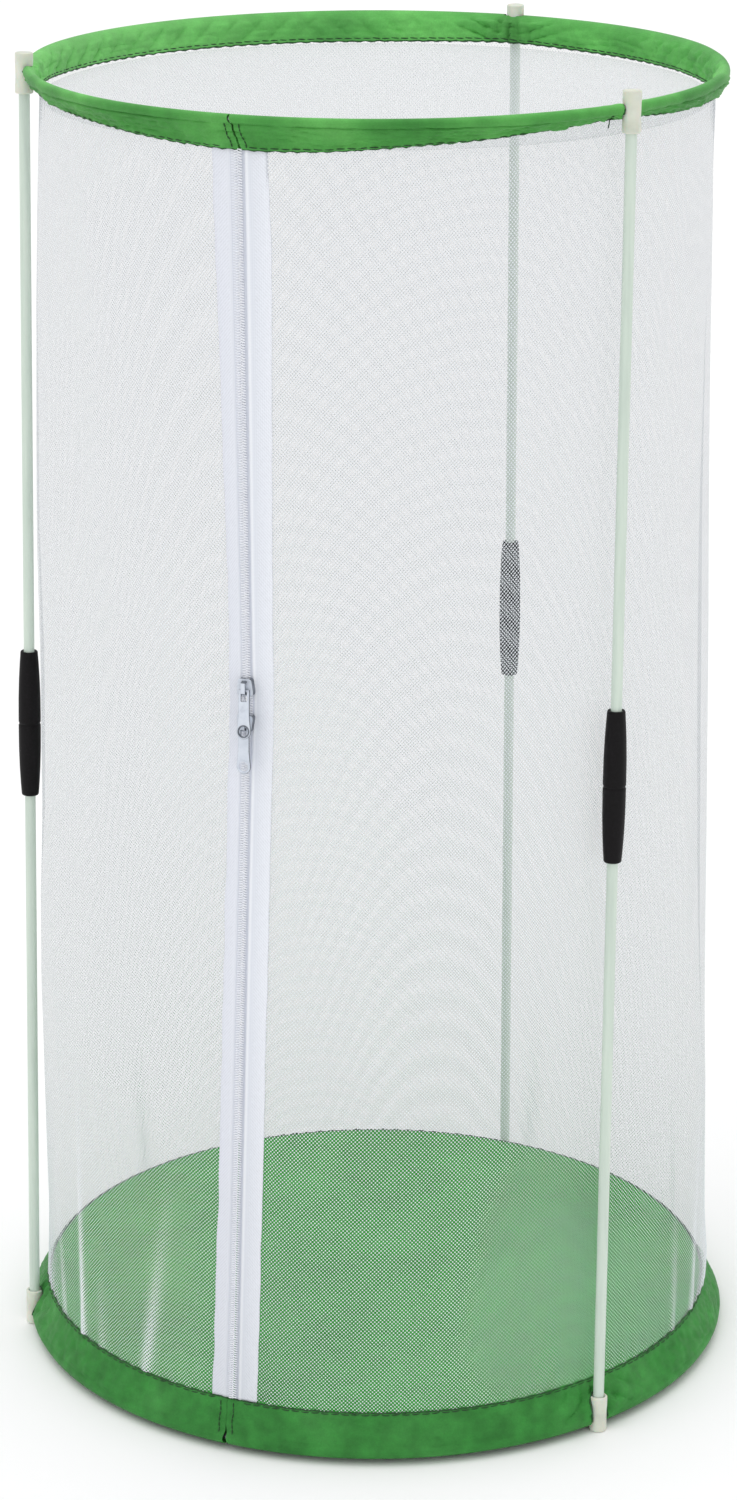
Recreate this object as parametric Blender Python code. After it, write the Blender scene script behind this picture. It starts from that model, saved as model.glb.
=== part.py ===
# Insect cage that folds flat: two wire hoops in cloth sleeves, a net wall with a zip, and three rods.
# Metres, +Z up. The origin is on the ground under the middle of the cage, and the viewer stands at -Y.
# A clock angle runs from -Y towards +X, so the zip, left of the front, has a negative one.

import math

import bmesh
import bpy
from mathutils import Matrix, Vector

# Clearances shared by the whole cage
GAP = 0.0003  # between neighbours that touch
OVERRUN = 0.002  # how far a cutter runs past what it cuts
WELD = 0.00001  # vertices closer than this are one

# The hoops: steel wire rings, each closed by a crimped tube
WIRE_SPACING = 0.6051
WIRE_DIAMETER = 0.003
TOP_HOOP_RADIUS = 0.1557
BOTTOM_HOOP_RADIUS = 0.1667
WIRE_END_GAP = 0.001
CRIMP_WALL = 0.0003
CRIMP_STEP = 35  # the step of the ring that the crimp covers, counted from the front
RING_STEPS = 60
WIRE_BEVEL_RESOLUTION = 2

# The cloth sleeves: a fold round the wire and a doubled strip down to the seam
CLOTH = 0.0005
CHANNEL_RADIUS = 0.0026
TOP_SEAM_DROP = 0.0111
TOP_SEAM_INSET = 0.0037
BOTTOM_SEAM_RISE = 0.016
BOTTOM_SEAM_INSET = 0.0064
FOLD_STEPS = 6
CHANNEL_SIDES = 8
SLEEVE_SLIT = 0.0008  # between the sleeve's ends, over the zip
NOTCH_CLEARANCE = 0.0006
TOP_NOTCH_DEPTH = 0.0096
BOTTOM_NOTCH_DEPTH = 0.0112
NOTCH_ARC_STEPS = 8

# The net and the floor
NET = 0.0006
TOP_NET_SAG = 0.005
FLOOR_SAG = 0.007
DISC_RINGS = 3
NET_COLUMNS = 72
NET_ROWS = 7
NET_FOLD_DEPTH = 0.0045
# Clock angle, half width in degrees, share of the fold depth, and lean in degrees from seam to seam
NET_FOLD_SHARES = (
    (-101.0, 8.0, 1.0, 2.0),
    (-87.0, 5.0, -0.4, 0.0),
    (-73.0, 6.0, 0.8, -6.0),
    (-54.0, 6.0, -0.9, -16.0),
    (3.0, 14.0, 0.5, 4.0),
    (38.0, 11.0, -0.6, -3.0),
    (71.0, 7.0, 0.8, 5.0),
    (88.0, 6.0, -1.0, 0.0),
    (118.0, 12.0, 0.6, -4.0),
    (150.0, 10.0, -0.7, 3.0),
    (186.0, 12.0, 0.6, 4.0),
    (226.0, 10.0, -0.6, -3.0),
)

# The zip: two tapes, two coils that part round the posts of the two sliders
ZIP_FOOT_CLOCK = -24.0
ZIP_KNEE_CLOCK = -20.9  # between the two sliders, where the zip's line bends a little
ZIP_HEAD_CLOCK = -22.1
TAPE_WIDTH = 0.0265  # both tapes
TAPE = 0.0005
TAPE_COLUMNS = 3
COIL_DIAMETER = 0.0016
COIL_PARTING = 0.0009
COIL_RAMP = 0.003
COIL_RAMP_SHARES = (0.0, 0.25, 0.5, 0.75, 1.0)
ZIP_LONG_STEPS = 8
UPPER_SLIDER_HEIGHT = 0.3656
LOWER_SLIDER_HEIGHT = 0.3493

# Slider bodies
SLIDER_LENGTH = 0.0078
SLIDER_PLATE = 0.0009
SLIDER_FLANGE = 0.0008
SLIDER_REAR_SHARE = 0.80  # width at the tail over the width at the shoulders
SLIDER_SHOULDER_SHARE = 0.30  # where the taper starts, over the length
SLIDER_CORNER = 0.0009
POST_WIDTH = 0.0015
POST_LENGTH = 0.0024
ARCH_LENGTH = 0.006
ARCH_WIDTH = 0.002
ARCH_BAR = 0.0008
ARCH_CORNER = 0.0011
CORNER_STEPS = 3

# Pull tabs
PULL_LENGTH = 0.021  # from the pivot to the round end
PULL_NECK_WIDTH = 0.0052
PULL_END_WIDTH = 0.0066
PULL_THICKNESS = 0.0009
PULL_CROSSBAR = 0.001
PULL_HOLE_RADIUS = 0.0022
PULL_ARC_STEPS = 12
PULL_DROP = 0.0013  # the crossbar lies this far below the slider's middle
UPPER_PULL_TILT = 12.5  # degrees out of the wall, as it lies over the lower slider
LOWER_PULL_TILT = 4.0

# Rods, each of two halves that meet inside a ferrule
ROD_DIAMETER = 0.005
ROD_CHAMFER = 0.0004
ROD_SIDES = 16
ROD_OFFSET = 0.0018  # the rod's axis stands this far outside the wire
# Name, clock angles of the bottom and the top end, and height of the ferrule's middle
RODS = (
    ("left", -82.6, -86.2, 0.3068),
    ("right", 37.8, 43.2, 0.3123),
    ("back", 156.0, 154.8, 0.3150),
)
FERRULE_LENGTH = 0.070
FERRULE_DIAMETER = 0.0104
FERRULE_SEAM = 0.0006  # the groove at its middle
FERRULE_SIDES = 20
# Share of the half length, and share of the full radius there
FERRULE_PROFILE_SHARES = ((0.10, 1.0), (0.36, 0.985), (0.62, 0.93), (0.84, 0.85), (0.97, 0.79))

# Connectors: a socket for the rod above a slot that snaps over the wire
CONNECTOR_TAIL = 0.006  # from the wire to the closed end
CONNECTOR_HEAD = 0.0112  # from the wire to the socket's mouth
CONNECTOR_DIAMETER = 0.0082
CONNECTOR_WAIST_DIAMETER = 0.0076
CONNECTOR_EDGE = 0.0005
CONNECTOR_SIDES = 16
SOCKET_DEPTH = 0.008
SOCKET_LEAD_IN = 0.0005
WIRE_SLOT_CLEARANCE = 0.0005
SLOT_ARC_STEPS = 8

# Places worked out from the sizes above
WIRE_RADIUS = WIRE_DIAMETER / 2
FOLD_RADIUS = CHANNEL_RADIUS + CLOTH
BOTTOM_WIRE_HEIGHT = CONNECTOR_TAIL
TOP_WIRE_HEIGHT = BOTTOM_WIRE_HEIGHT + WIRE_SPACING
TOP_SEAM = (TOP_HOOP_RADIUS - TOP_SEAM_INSET, TOP_WIRE_HEIGHT - TOP_SEAM_DROP)
BOTTOM_SEAM = (BOTTOM_HOOP_RADIUS - BOTTOM_SEAM_INSET, BOTTOM_WIRE_HEIGHT + BOTTOM_SEAM_RISE)
SEAM_GAP = GAP + TAPE / 2
WALL_FOOT = BOTTOM_SEAM[1] + SEAM_GAP
WALL_HEAD = TOP_SEAM[1] - SEAM_GAP
COIL_RADIUS = COIL_DIAMETER / 2
COIL_CENTRE = COIL_RADIUS + GAP / 2
COIL_LIFT = TAPE / 2 + GAP + COIL_RADIUS
POST_HALF = POST_WIDTH / 2
ZIP_KNEE_HEIGHT = (UPPER_SLIDER_HEIGHT + LOWER_SLIDER_HEIGHT) / 2
CHANNEL_TOP = COIL_LIFT + COIL_RADIUS + GAP
TAPE_SLOT = TAPE / 2 + GAP
SLIDER_FRONT_HALF = COIL_CENTRE + COIL_PARTING + COIL_RADIUS + GAP + SLIDER_FLANGE
PLATE_TOP = CHANNEL_TOP + SLIDER_PLATE
PULL_PIVOT_LIFT = PLATE_TOP + GAP + PULL_CROSSBAR / 2
ARCH_HEIGHT = PULL_CROSSBAR + GAP + GAP + ARCH_BAR
ROD_RADIUS = ROD_DIAMETER / 2
SOCKET_RADIUS = ROD_RADIUS + GAP
SOCKET_FLOOR = CONNECTOR_HEAD - SOCKET_DEPTH
SLOT_RADIUS = WIRE_RADIUS + WIRE_SLOT_CLEARANCE


def clear_scene():
    for thing in list(bpy.data.objects):
        bpy.data.objects.remove(thing, do_unlink=True)


def linear(value):
    """One sRGB channel as the linear value that a shader takes."""
    return value / 12.92 if value <= 0.04045 else ((value + 0.055) / 1.055) ** 2.4


def make_material(name, colour, roughness, metallic=0.0, alpha=1.0):
    material = bpy.data.materials.new(name)
    material.use_nodes = True
    shader = material.node_tree.nodes["Principled BSDF"]
    shader.inputs["Base Color"].default_value = (*(linear(c) for c in colour), 1.0)
    shader.inputs["Roughness"].default_value = roughness
    shader.inputs["Metallic"].default_value = metallic
    shader.inputs["Alpha"].default_value = alpha
    return material


def make_materials():
    return {
        "steel": make_material("hoop_steel", (0.62, 0.63, 0.64), 0.35, 1.0),
        "top_cloth": make_material("green_sleeve_cloth", (0.31, 0.65, 0.29), 0.6),
        "bottom_cloth": make_material("green_floor_cloth", (0.24, 0.53, 0.24), 0.6),
        "net": make_material("white_net", (0.88, 0.89, 0.90), 0.8, 0.0, 0.4),
        "tape": make_material("white_zip_tape", (0.93, 0.93, 0.95), 0.75),
        "coil": make_material("white_zip_coil", (0.90, 0.91, 0.94), 0.4),
        "slider": make_material("painted_zip_slider", (0.86, 0.87, 0.88), 0.35),
        "rod": make_material("pale_mint_rod", (0.77, 0.83, 0.78), 0.4),
        "connector": make_material("milky_connector", (0.87, 0.88, 0.83), 0.45),
        "ferrule": make_material("black_ferrule", (0.05, 0.05, 0.05), 0.45),
    }


def outward(clock):
    angle = math.radians(clock)
    return Vector((math.sin(angle), -math.cos(angle), 0))


def sideways(clock):
    """The level direction along the ring, towards a larger clock angle."""
    angle = math.radians(clock)
    return Vector((math.cos(angle), math.sin(angle), 0))


def at_clock(radius, clock, height):
    return outward(clock) * radius + Vector((0, 0, height))


def hide_helper(thing):
    thing.hide_render = True
    thing.display_type = "WIRE"
    return thing


def finish_object(name, bm, material=None, sharp_degrees=35.0, outside=True):
    """Turns a bmesh into a named object with its material, smooth but for its sharp edges."""
    if outside:
        bmesh.ops.recalc_face_normals(bm, faces=bm.faces)
    mesh = bpy.data.meshes.new(name)
    bm.to_mesh(mesh)
    bm.free()
    mesh.shade_smooth()
    mesh.set_sharp_from_angle(angle=math.radians(sharp_degrees))
    thing = bpy.data.objects.new(name, mesh)
    bpy.context.collection.objects.link(thing)
    if material:
        mesh.materials.append(material)
    return thing


def cut(thing, cutter, operation="DIFFERENCE"):
    modifier = thing.modifiers.new(cutter.name, "BOOLEAN")
    modifier.operation = operation
    modifier.solver = "EXACT"
    modifier.object = cutter
    return thing


def spun(points, steps, closed):
    """A profile of (radius, height) points turned once round Z, as a bmesh."""
    bm = bmesh.new()
    verts = [bm.verts.new((0, -radius, height)) for radius, height in points]
    pairs = list(zip(verts, verts[1:]))
    if closed:
        pairs.append((verts[-1], verts[0]))
    edges = [bm.edges.new(pair) for pair in pairs]
    bmesh.ops.spin(
        bm,
        geom=verts + edges,
        cent=(0, 0, 0),
        axis=(0, 0, 1),
        angle=math.tau,
        steps=steps,
        use_merge=True,
        use_duplicate=False,
    )
    bmesh.ops.remove_doubles(bm, verts=bm.verts, dist=WELD)
    return bm


def prism(points, direction):
    """A flat outline pushed along a direction, as a bmesh. The points are 3-D."""
    bm = bmesh.new()
    face = bm.faces.new([bm.verts.new(point) for point in points])
    made = bmesh.ops.extrude_face_region(bm, geom=[face])
    moved = [item for item in made["geom"] if isinstance(item, bmesh.types.BMVert)]
    bmesh.ops.translate(bm, verts=moved, vec=direction)
    return bm


def arc_points(centre, radius, start, end, steps):
    """Points of an arc in a plane, from one angle to another in degrees, ends included."""
    points = []
    for step in range(steps + 1):
        angle = math.radians(start + (end - start) * step / steps)
        points.append((centre[0] + radius * math.cos(angle), centre[1] + radius * math.sin(angle)))
    return points


def rounded_outline(corners, radius, steps):
    """A closed outline of (x, y) corners, anticlockwise and convex, each rounded by the same radius."""
    points = []
    for index, corner in enumerate(corners):
        here = Vector(corner)
        back = (Vector(corners[index - 1]) - here).normalized()
        on = (Vector(corners[(index + 1) % len(corners)]) - here).normalized()
        half = back.angle(on) / 2
        middle = here + (back + on).normalized() * (radius / math.sin(half))
        first = math.degrees(math.atan2(-back.x, back.y))
        sweep = 180.0 - math.degrees(2 * half)
        points += arc_points(middle, radius, first + 180.0, first + 180.0 + sweep, steps)
    return points


# Hoops and sleeves


def ring_points(radius, height):
    return [at_clock(radius, 360.0 * step / RING_STEPS, height) for step in range(RING_STEPS)]


def make_hoop(name, radius, height, material):
    """A wire ring whose two ends meet halfway along one straight step, under the crimp."""
    corners = ring_points(radius, height)
    before, after = corners[CRIMP_STEP], corners[CRIMP_STEP + 1]
    middle = (before + after) / 2
    half_gap = (after - before).normalized() * (WIRE_END_GAP / 2)
    path = [middle + half_gap] + corners[CRIMP_STEP + 1 :] + corners[: CRIMP_STEP + 1] + [middle - half_gap]
    return tube_along(name, path, WIRE_RADIUS, WIRE_BEVEL_RESOLUTION, material)


def tube_along(name, path, radius, resolution, material):
    curve = bpy.data.curves.new(name, "CURVE")
    curve.dimensions = "3D"
    curve.bevel_depth = radius
    curve.bevel_resolution = resolution
    curve.use_fill_caps = True
    spline = curve.splines.new("POLY")
    spline.points.add(len(path) - 1)
    for point, place in zip(spline.points, path):
        point.co = (*place, 1.0)
    curve.materials.append(material)
    thing = bpy.data.objects.new(name, curve)
    bpy.context.collection.objects.link(thing)
    return thing


def make_crimp(name, radius, height, material):
    """The tube crimped over the wire's ends, one step of the ring long."""
    corners = ring_points(radius, height)
    before, after = corners[CRIMP_STEP], corners[CRIMP_STEP + 1]
    half = (after - before).length / 2 - GAP
    inner = WIRE_RADIUS + GAP
    outer = inner + CRIMP_WALL
    profile = [(inner, -half), (outer, -half), (outer, half), (inner, half)]
    crimp = finish_object(name, spun(profile, ROD_SIDES, True), material)
    crimp.location = (before + after) / 2
    crimp.rotation_euler = (after - before).to_track_quat("Z", "X").to_euler()
    return crimp


def sleeve_sections(hoop_radius, wire_height, seam):
    """The sleeve's outer outline and its wire channel, as (radius, height) points."""
    down = Vector((seam[0] - hoop_radius, seam[1] - wire_height))
    length = down.length
    along = down.normalized()
    across = Vector((-along.y, along.x))
    reach = math.hypot(length, CLOTH)
    tangent = math.degrees(math.atan2(CLOTH, length) + math.acos(FOLD_RADIUS / reach))
    fold = arc_points((0, 0), FOLD_RADIUS, tangent, 360.0 - tangent, FOLD_STEPS)
    outline = [(length, CLOTH)] + fold + [(length, -CLOTH)]
    channel = arc_points((0, 0), CHANNEL_RADIUS, 0.0, 360.0, CHANNEL_SIDES)[:-1]
    centre = Vector((hoop_radius, wire_height))

    def placed(points):
        return [tuple(centre + along * a + across * b) for a, b in points]

    return placed(outline), placed(channel)


def notch_cutter(name, clocks, slit_clock, hoop_radius, wire_height, seam, depth):
    """An arch over each connector, and the slit where the sleeve's two ends meet at the zip."""
    towards = math.copysign(1.0, seam[1] - wire_height)
    half = CONNECTOR_DIAMETER / 2 + NOTCH_CLEARANCE
    inside = seam[0] - OVERRUN
    depth_through = hoop_radius + FOLD_RADIUS + OVERRUN - inside
    whole = bmesh.new()
    for clock in clocks:
        arch = arc_points((0, depth - half), half, 0.0, 180.0, NOTCH_ARC_STEPS)
        outline = arch + [(-half, -FOLD_RADIUS - OVERRUN), (half, -FOLD_RADIUS - OVERRUN)]
        points = [
            at_clock(inside, clock, wire_height + towards * up) + sideways(clock) * side for side, up in outline
        ]
        add_to(whole, prism(points, outward(clock) * depth_through))
    low = min(seam[1], wire_height - FOLD_RADIUS) - OVERRUN
    high = max(seam[1], wire_height + FOLD_RADIUS) + OVERRUN
    side = sideways(slit_clock) * (SLEEVE_SLIT / 2)
    corners = [
        at_clock(inside, slit_clock, low) - side,
        at_clock(inside, slit_clock, low) + side,
        at_clock(inside, slit_clock, high) + side,
        at_clock(inside, slit_clock, high) - side,
    ]
    add_to(whole, prism(corners, outward(slit_clock) * depth_through))
    return hide_helper(finish_object(name, whole))


def add_to(whole, part):
    """Copies one bmesh into another."""
    bmesh.ops.recalc_face_normals(part, faces=part.faces)
    mesh = bpy.data.meshes.new("part")
    part.to_mesh(mesh)
    part.free()
    whole.from_mesh(mesh)
    bpy.data.meshes.remove(mesh)


def make_sleeve(name, clocks, slit_clock, hoop_radius, wire_height, seam, notch_depth, material):
    outline, channel = sleeve_sections(hoop_radius, wire_height, seam)
    sleeve = finish_object(name, spun(outline, RING_STEPS, True), material)
    channel_cutter = hide_helper(finish_object(name + "_channel", spun(channel, RING_STEPS, True)))
    notches = notch_cutter(name + "_notches", clocks, slit_clock, hoop_radius, wire_height, seam, notch_depth)
    cut(sleeve, channel_cutter)
    cut(sleeve, notches)
    return sleeve


# Net and floor


def add_thickness(thing, thickness):
    modifier = thing.modifiers.new("thickness", "SOLIDIFY")
    modifier.thickness = thickness
    modifier.offset = 0.0
    return thing


def make_disc(name, seam, thickness, sag, material):
    """A round cloth sewn in at the seam, hanging a little in the middle."""
    edge = seam[0] - CLOTH - GAP - thickness
    height = seam[1] - thickness
    profile = []
    for ring in range(DISC_RINGS + 1):
        share = ring / DISC_RINGS
        profile.append((edge * share, height - sag * (1 - share**2)))
    return add_thickness(finish_object(name, spun(profile, RING_STEPS, False), material), thickness)


def wall_radius(height):
    """The wall is a straight line between the two seams, seen from the side."""
    share = (height - BOTTOM_SEAM[1]) / (TOP_SEAM[1] - BOTTOM_SEAM[1])
    return BOTTOM_SEAM[0] + (TOP_SEAM[0] - BOTTOM_SEAM[0]) * share


def tape_half_angle(height):
    """Half of the tapes' width and a gap, as a clock angle at this height."""
    return math.degrees((TAPE_WIDTH / 2 + GAP) / wall_radius(height))


def fold_offset(clock, share):
    """How far the net's main folds push it out, none at the seams and at the zip."""
    offset = 0.0
    for middle, half_width, size, lean in NET_FOLD_SHARES:
        turn = (clock - middle - lean * (share - 0.5) + 180.0) % 360.0 - 180.0
        away = turn / half_width
        offset += size * math.exp(-away * away)
    return NET_FOLD_DEPTH * offset * math.sin(math.pi * share)


def make_net_wall(material):
    """The net from one zip tape round to the other."""
    bm = bmesh.new()
    bmesh.ops.create_grid(bm, x_segments=NET_COLUMNS, y_segments=NET_ROWS, size=0.5)
    for vert in bm.verts:
        share = vert.co.y + 0.5
        height = WALL_FOOT + (WALL_HEAD - WALL_FOOT) * share
        from_zip = tape_half_angle(height) / 360.0
        round_share = from_zip + (1.0 - 2 * from_zip) * (vert.co.x + 0.5)
        clock = zip_clock(height) + 360.0 * round_share
        fade = min(1.0, 12.0 * min(round_share, 1.0 - round_share))
        offset = fold_offset(clock, share) * fade
        vert.co = at_clock(wall_radius(height) + offset, clock, height)
    return add_thickness(finish_object("net_wall", bm, material, outside=False), NET)


# Zip


def zip_clock(height):
    """The zip's line is straight from the foot to the knee between the sliders, and on to the head."""
    if height < ZIP_KNEE_HEIGHT:
        share = (height - BOTTOM_SEAM[1]) / (ZIP_KNEE_HEIGHT - BOTTOM_SEAM[1])
        return ZIP_FOOT_CLOCK + (ZIP_KNEE_CLOCK - ZIP_FOOT_CLOCK) * share
    share = (height - ZIP_KNEE_HEIGHT) / (TOP_SEAM[1] - ZIP_KNEE_HEIGHT)
    return ZIP_KNEE_CLOCK + (ZIP_HEAD_CLOCK - ZIP_KNEE_CLOCK) * share


def zip_frame(height, level=False):
    """Axes on the zip at one height: X to the side, Y into the cage, Z up. Level ones keep X level."""
    knee = at_clock(wall_radius(ZIP_KNEE_HEIGHT), ZIP_KNEE_CLOCK, ZIP_KNEE_HEIGHT)
    if height < ZIP_KNEE_HEIGHT:
        up = (knee - at_clock(BOTTOM_SEAM[0], ZIP_FOOT_CLOCK, BOTTOM_SEAM[1])).normalized()
        side = sideways((ZIP_FOOT_CLOCK + ZIP_KNEE_CLOCK) / 2)
    else:
        up = (at_clock(TOP_SEAM[0], ZIP_HEAD_CLOCK, TOP_SEAM[1]) - knee).normalized()
        side = sideways((ZIP_HEAD_CLOCK + ZIP_KNEE_CLOCK) / 2)
    if not level:
        side = (side - up * side.dot(up)).normalized()
    turn = Matrix((side, up.cross(side).normalized(), up)).transposed().to_4x4()
    return Matrix.Translation(knee + up * ((height - knee.z) / up.z)) @ turn


def parting(height):
    """How far the chain is parted, from 0 to 1: whole between the two sliders' posts."""
    low = LOWER_SLIDER_HEIGHT + SLIDER_LENGTH / 2 - POST_LENGTH
    high = UPPER_SLIDER_HEIGHT - SLIDER_LENGTH / 2 + POST_LENGTH
    away = max(low - height, height - high, 0)
    share = max(0.0, 1.0 - away / COIL_RAMP)
    return share * share * (3 - 2 * share)


def zip_heights():
    """Heights of the rows along the zip: even ones, and closer ones where the chain parts."""
    low = LOWER_SLIDER_HEIGHT + SLIDER_LENGTH / 2 - POST_LENGTH
    high = UPPER_SLIDER_HEIGHT - SLIDER_LENGTH / 2 + POST_LENGTH
    ramp_foot, ramp_head = low - COIL_RAMP, high + COIL_RAMP
    lower = [WALL_FOOT + (ramp_foot - WALL_FOOT) * step / ZIP_LONG_STEPS for step in range(ZIP_LONG_STEPS)]
    upper = [WALL_HEAD + (ramp_head - WALL_HEAD) * step / ZIP_LONG_STEPS for step in range(ZIP_LONG_STEPS)]
    ramp_up = [low - COIL_RAMP * (1 - share) for share in COIL_RAMP_SHARES]
    ramp_down = [high + COIL_RAMP * (1 - share) for share in COIL_RAMP_SHARES]
    return lower + ramp_up + ramp_down[::-1] + upper[::-1]


def make_tape(name, hand, material):
    """One zip tape, from beside the chain to the net. The hand is -1 on the left and 1 on the right."""
    heights = zip_heights()
    frames = [zip_frame(height, True) for height in heights]
    bm = bmesh.new()
    bmesh.ops.create_grid(bm, x_segments=TAPE_COLUMNS, y_segments=len(heights) - 1, size=0.5)
    for vert in bm.verts:
        row = round((vert.co.y + 0.5) * (len(heights) - 1))
        height = heights[row]
        inner = GAP + POST_HALF * parting(height)
        side = inner + (TAPE_WIDTH / 2 - inner) * (vert.co.x + 0.5)
        radius = wall_radius(height)
        inward = radius - math.sqrt(radius * radius - side * side)
        vert.co = frames[row] @ Vector((hand * side, inward, 0))
    return add_thickness(finish_object(name, bm, material, outside=False), TAPE)


def make_coil(name, hand, material):
    """One side of the chain, a cord of coil that steps aside round the sliders' posts."""
    path = []
    for height in zip_heights():
        side = hand * (COIL_CENTRE + COIL_PARTING * parting(height))
        path.append(zip_frame(height, True) @ Vector((side, -COIL_LIFT, 0)))
    return tube_along(name, path, COIL_RADIUS, WIRE_BEVEL_RESOLUTION, material)


def slider_outline(front_half, rear_half, corner):
    """A plate seen from outside, shoulders at -Z and tail at +Z, as (x, z) points."""
    half = SLIDER_LENGTH / 2
    waist = -half + SLIDER_LENGTH * SLIDER_SHOULDER_SHARE
    corners = [
        (-front_half, -half),
        (front_half, -half),
        (front_half, waist),
        (rear_half, half),
        (-rear_half, half),
        (-front_half, waist),
    ]
    return rounded_outline(corners, corner, CORNER_STEPS)


def flat_prism(outline, low, high):
    """An (x, z) outline as a solid from one distance outside the wall to another."""
    return prism([(x, -low, z) for x, z in outline], Vector((0, low - high, 0)))


def slider_channel():
    """The Y of the chain's way through: wide at the shoulders, one chain wide at the tail."""
    half = SLIDER_LENGTH / 2
    front = SLIDER_FRONT_HALF - SLIDER_FLANGE
    rear = COIL_CENTRE + COIL_RADIUS + GAP
    waist = -half + SLIDER_LENGTH * SLIDER_SHOULDER_SHARE
    outline = [
        (-front, -half - OVERRUN),
        (front, -half - OVERRUN),
        (front, waist),
        (rear, half - SLIDER_LENGTH * SLIDER_SHOULDER_SHARE),
        (rear, half + OVERRUN),
        (-rear, half + OVERRUN),
        (-rear, half - SLIDER_LENGTH * SLIDER_SHOULDER_SHARE),
        (-front, waist),
    ]
    return flat_prism(outline, -TAPE_SLOT, CHANNEL_TOP)


def slider_arch():
    """The loop on the slider's face that holds the pull, as a band of one width."""
    half = ARCH_LENGTH / 2
    top = PLATE_TOP + ARCH_HEIGHT
    root = PLATE_TOP - SLIDER_PLATE / 2
    outer = [(-half, root)]
    outer += arc_points((-half + ARCH_CORNER, top - ARCH_CORNER), ARCH_CORNER, 180.0, 90.0, CORNER_STEPS)
    outer += arc_points((half - ARCH_CORNER, top - ARCH_CORNER), ARCH_CORNER, 90.0, 0.0, CORNER_STEPS)
    outer += [(half, root)]
    inner_half = half - ARCH_BAR
    inner_top = top - ARCH_BAR
    inner = [(inner_half, root), (inner_half, inner_top), (-inner_half, inner_top), (-inner_half, root)]
    points = [(-ARCH_WIDTH / 2, -lift, z) for z, lift in outer + inner]
    return prism(points, Vector((ARCH_WIDTH, 0, 0)))


def make_slider(name, height, turned, material):
    """Two plates joined by the post at the shoulders, flanges round the chain, and the arch."""
    outline = slider_outline(SLIDER_FRONT_HALF, SLIDER_FRONT_HALF * SLIDER_REAR_SHARE, SLIDER_CORNER)
    slider = finish_object(name, flat_prism(outline, -TAPE_SLOT - SLIDER_PLATE, PLATE_TOP), material)
    half = SLIDER_LENGTH / 2
    wide = SLIDER_FRONT_HALF + OVERRUN
    tape_way = [(-wide, -half - OVERRUN), (wide, -half - OVERRUN), (wide, half + OVERRUN), (-wide, half + OVERRUN)]
    post = [
        (-POST_HALF, -half + GAP),
        (POST_HALF, -half + GAP),
        (POST_HALF, -half + POST_LENGTH / 2),
        (0, -half + POST_LENGTH),
        (-POST_HALF, -half + POST_LENGTH / 2),
    ]
    root = SLIDER_PLATE / 2
    pieces = (
        ("channel", slider_channel(), "DIFFERENCE"),
        ("tape_way", flat_prism(tape_way, -TAPE_SLOT, TAPE_SLOT), "DIFFERENCE"),
        ("post", flat_prism(post, -TAPE_SLOT - root, CHANNEL_TOP + root), "UNION"),
        ("arch", slider_arch(), "UNION"),
    )
    frame = zip_frame(height)
    if turned:
        frame = frame @ Matrix.Rotation(math.pi, 4, "Y")
    slider.matrix_world = frame
    for label, bm, operation in pieces:
        helper = hide_helper(finish_object(name + "_" + label, bm))
        helper.matrix_world = frame
        cut(slider, helper, operation)
    return slider


def make_pull(name, height, tilt_degrees, material):
    """A tab that hangs from the arch by its crossbar, with a round end and a hole."""
    neck = PULL_NECK_WIDTH / 2
    end = PULL_END_WIDTH / 2
    bar = PULL_CROSSBAR / 2
    centre = -(PULL_LENGTH - end)
    outline = [(-neck, bar)] + arc_points((0, centre), end, 180.0, 360.0, PULL_ARC_STEPS) + [(neck, bar)]
    tab = prism([(x, -PULL_THICKNESS / 2, z) for x, z in outline], Vector((0, PULL_THICKNESS, 0)))
    pull = finish_object(name, tab, material)
    window_half = ARCH_WIDTH / 2 + GAP
    window_foot = -(ARCH_LENGTH / 2 + PULL_DROP + GAP)
    window = [(-window_half, window_foot), (window_half, window_foot), (window_half, -bar), (-window_half, -bar)]
    hole = arc_points((0, centre), PULL_HOLE_RADIUS, 0.0, 360.0, PULL_ARC_STEPS)[:-1]
    tilt = Matrix.Rotation(-math.radians(tilt_degrees), 4, "X")
    pivot = Matrix.Translation((0, -PULL_PIVOT_LIFT, -PULL_DROP))
    frame = zip_frame(height) @ pivot @ tilt
    pull.matrix_world = frame
    for label, shape in (("window", window), ("hole", hole)):
        reach = PULL_THICKNESS + OVERRUN
        cutter = prism([(x, -reach, z) for x, z in shape], Vector((0, reach + reach, 0)))
        helper = hide_helper(finish_object(name + "_" + label, cutter))
        helper.matrix_world = frame
        cut(pull, helper)
    return pull


# Rods and connectors


def rod_frame(bottom_clock, top_clock):
    """Axes of a rod: Z up its axis, X away from the cage. The origin is level with the bottom wire."""
    foot = at_clock(BOTTOM_HOOP_RADIUS + ROD_OFFSET, bottom_clock, BOTTOM_WIRE_HEIGHT)
    head = at_clock(TOP_HOOP_RADIUS + ROD_OFFSET, top_clock, TOP_WIRE_HEIGHT)
    up = (head - foot).normalized()
    away = outward((bottom_clock + top_clock) / 2)
    away = (away - up * away.dot(up)).normalized()
    turn = Matrix((away, up.cross(away), up)).transposed().to_4x4()
    return Matrix.Translation(foot) @ turn, (head - foot).length


def make_turned(name, profile, sides, closed, frame, material):
    thing = finish_object(name, spun(profile, sides, closed), material)
    thing.matrix_world = frame
    return thing


def make_rod_half(name, low, high, frame, material):
    inner = ROD_RADIUS - ROD_CHAMFER
    profile = [
        (0, low),
        (inner, low),
        (ROD_RADIUS, low + ROD_CHAMFER),
        (ROD_RADIUS, high - ROD_CHAMFER),
        (inner, high),
        (0, high),
    ]
    return make_turned(name, profile, ROD_SIDES, False, frame, material)


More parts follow.
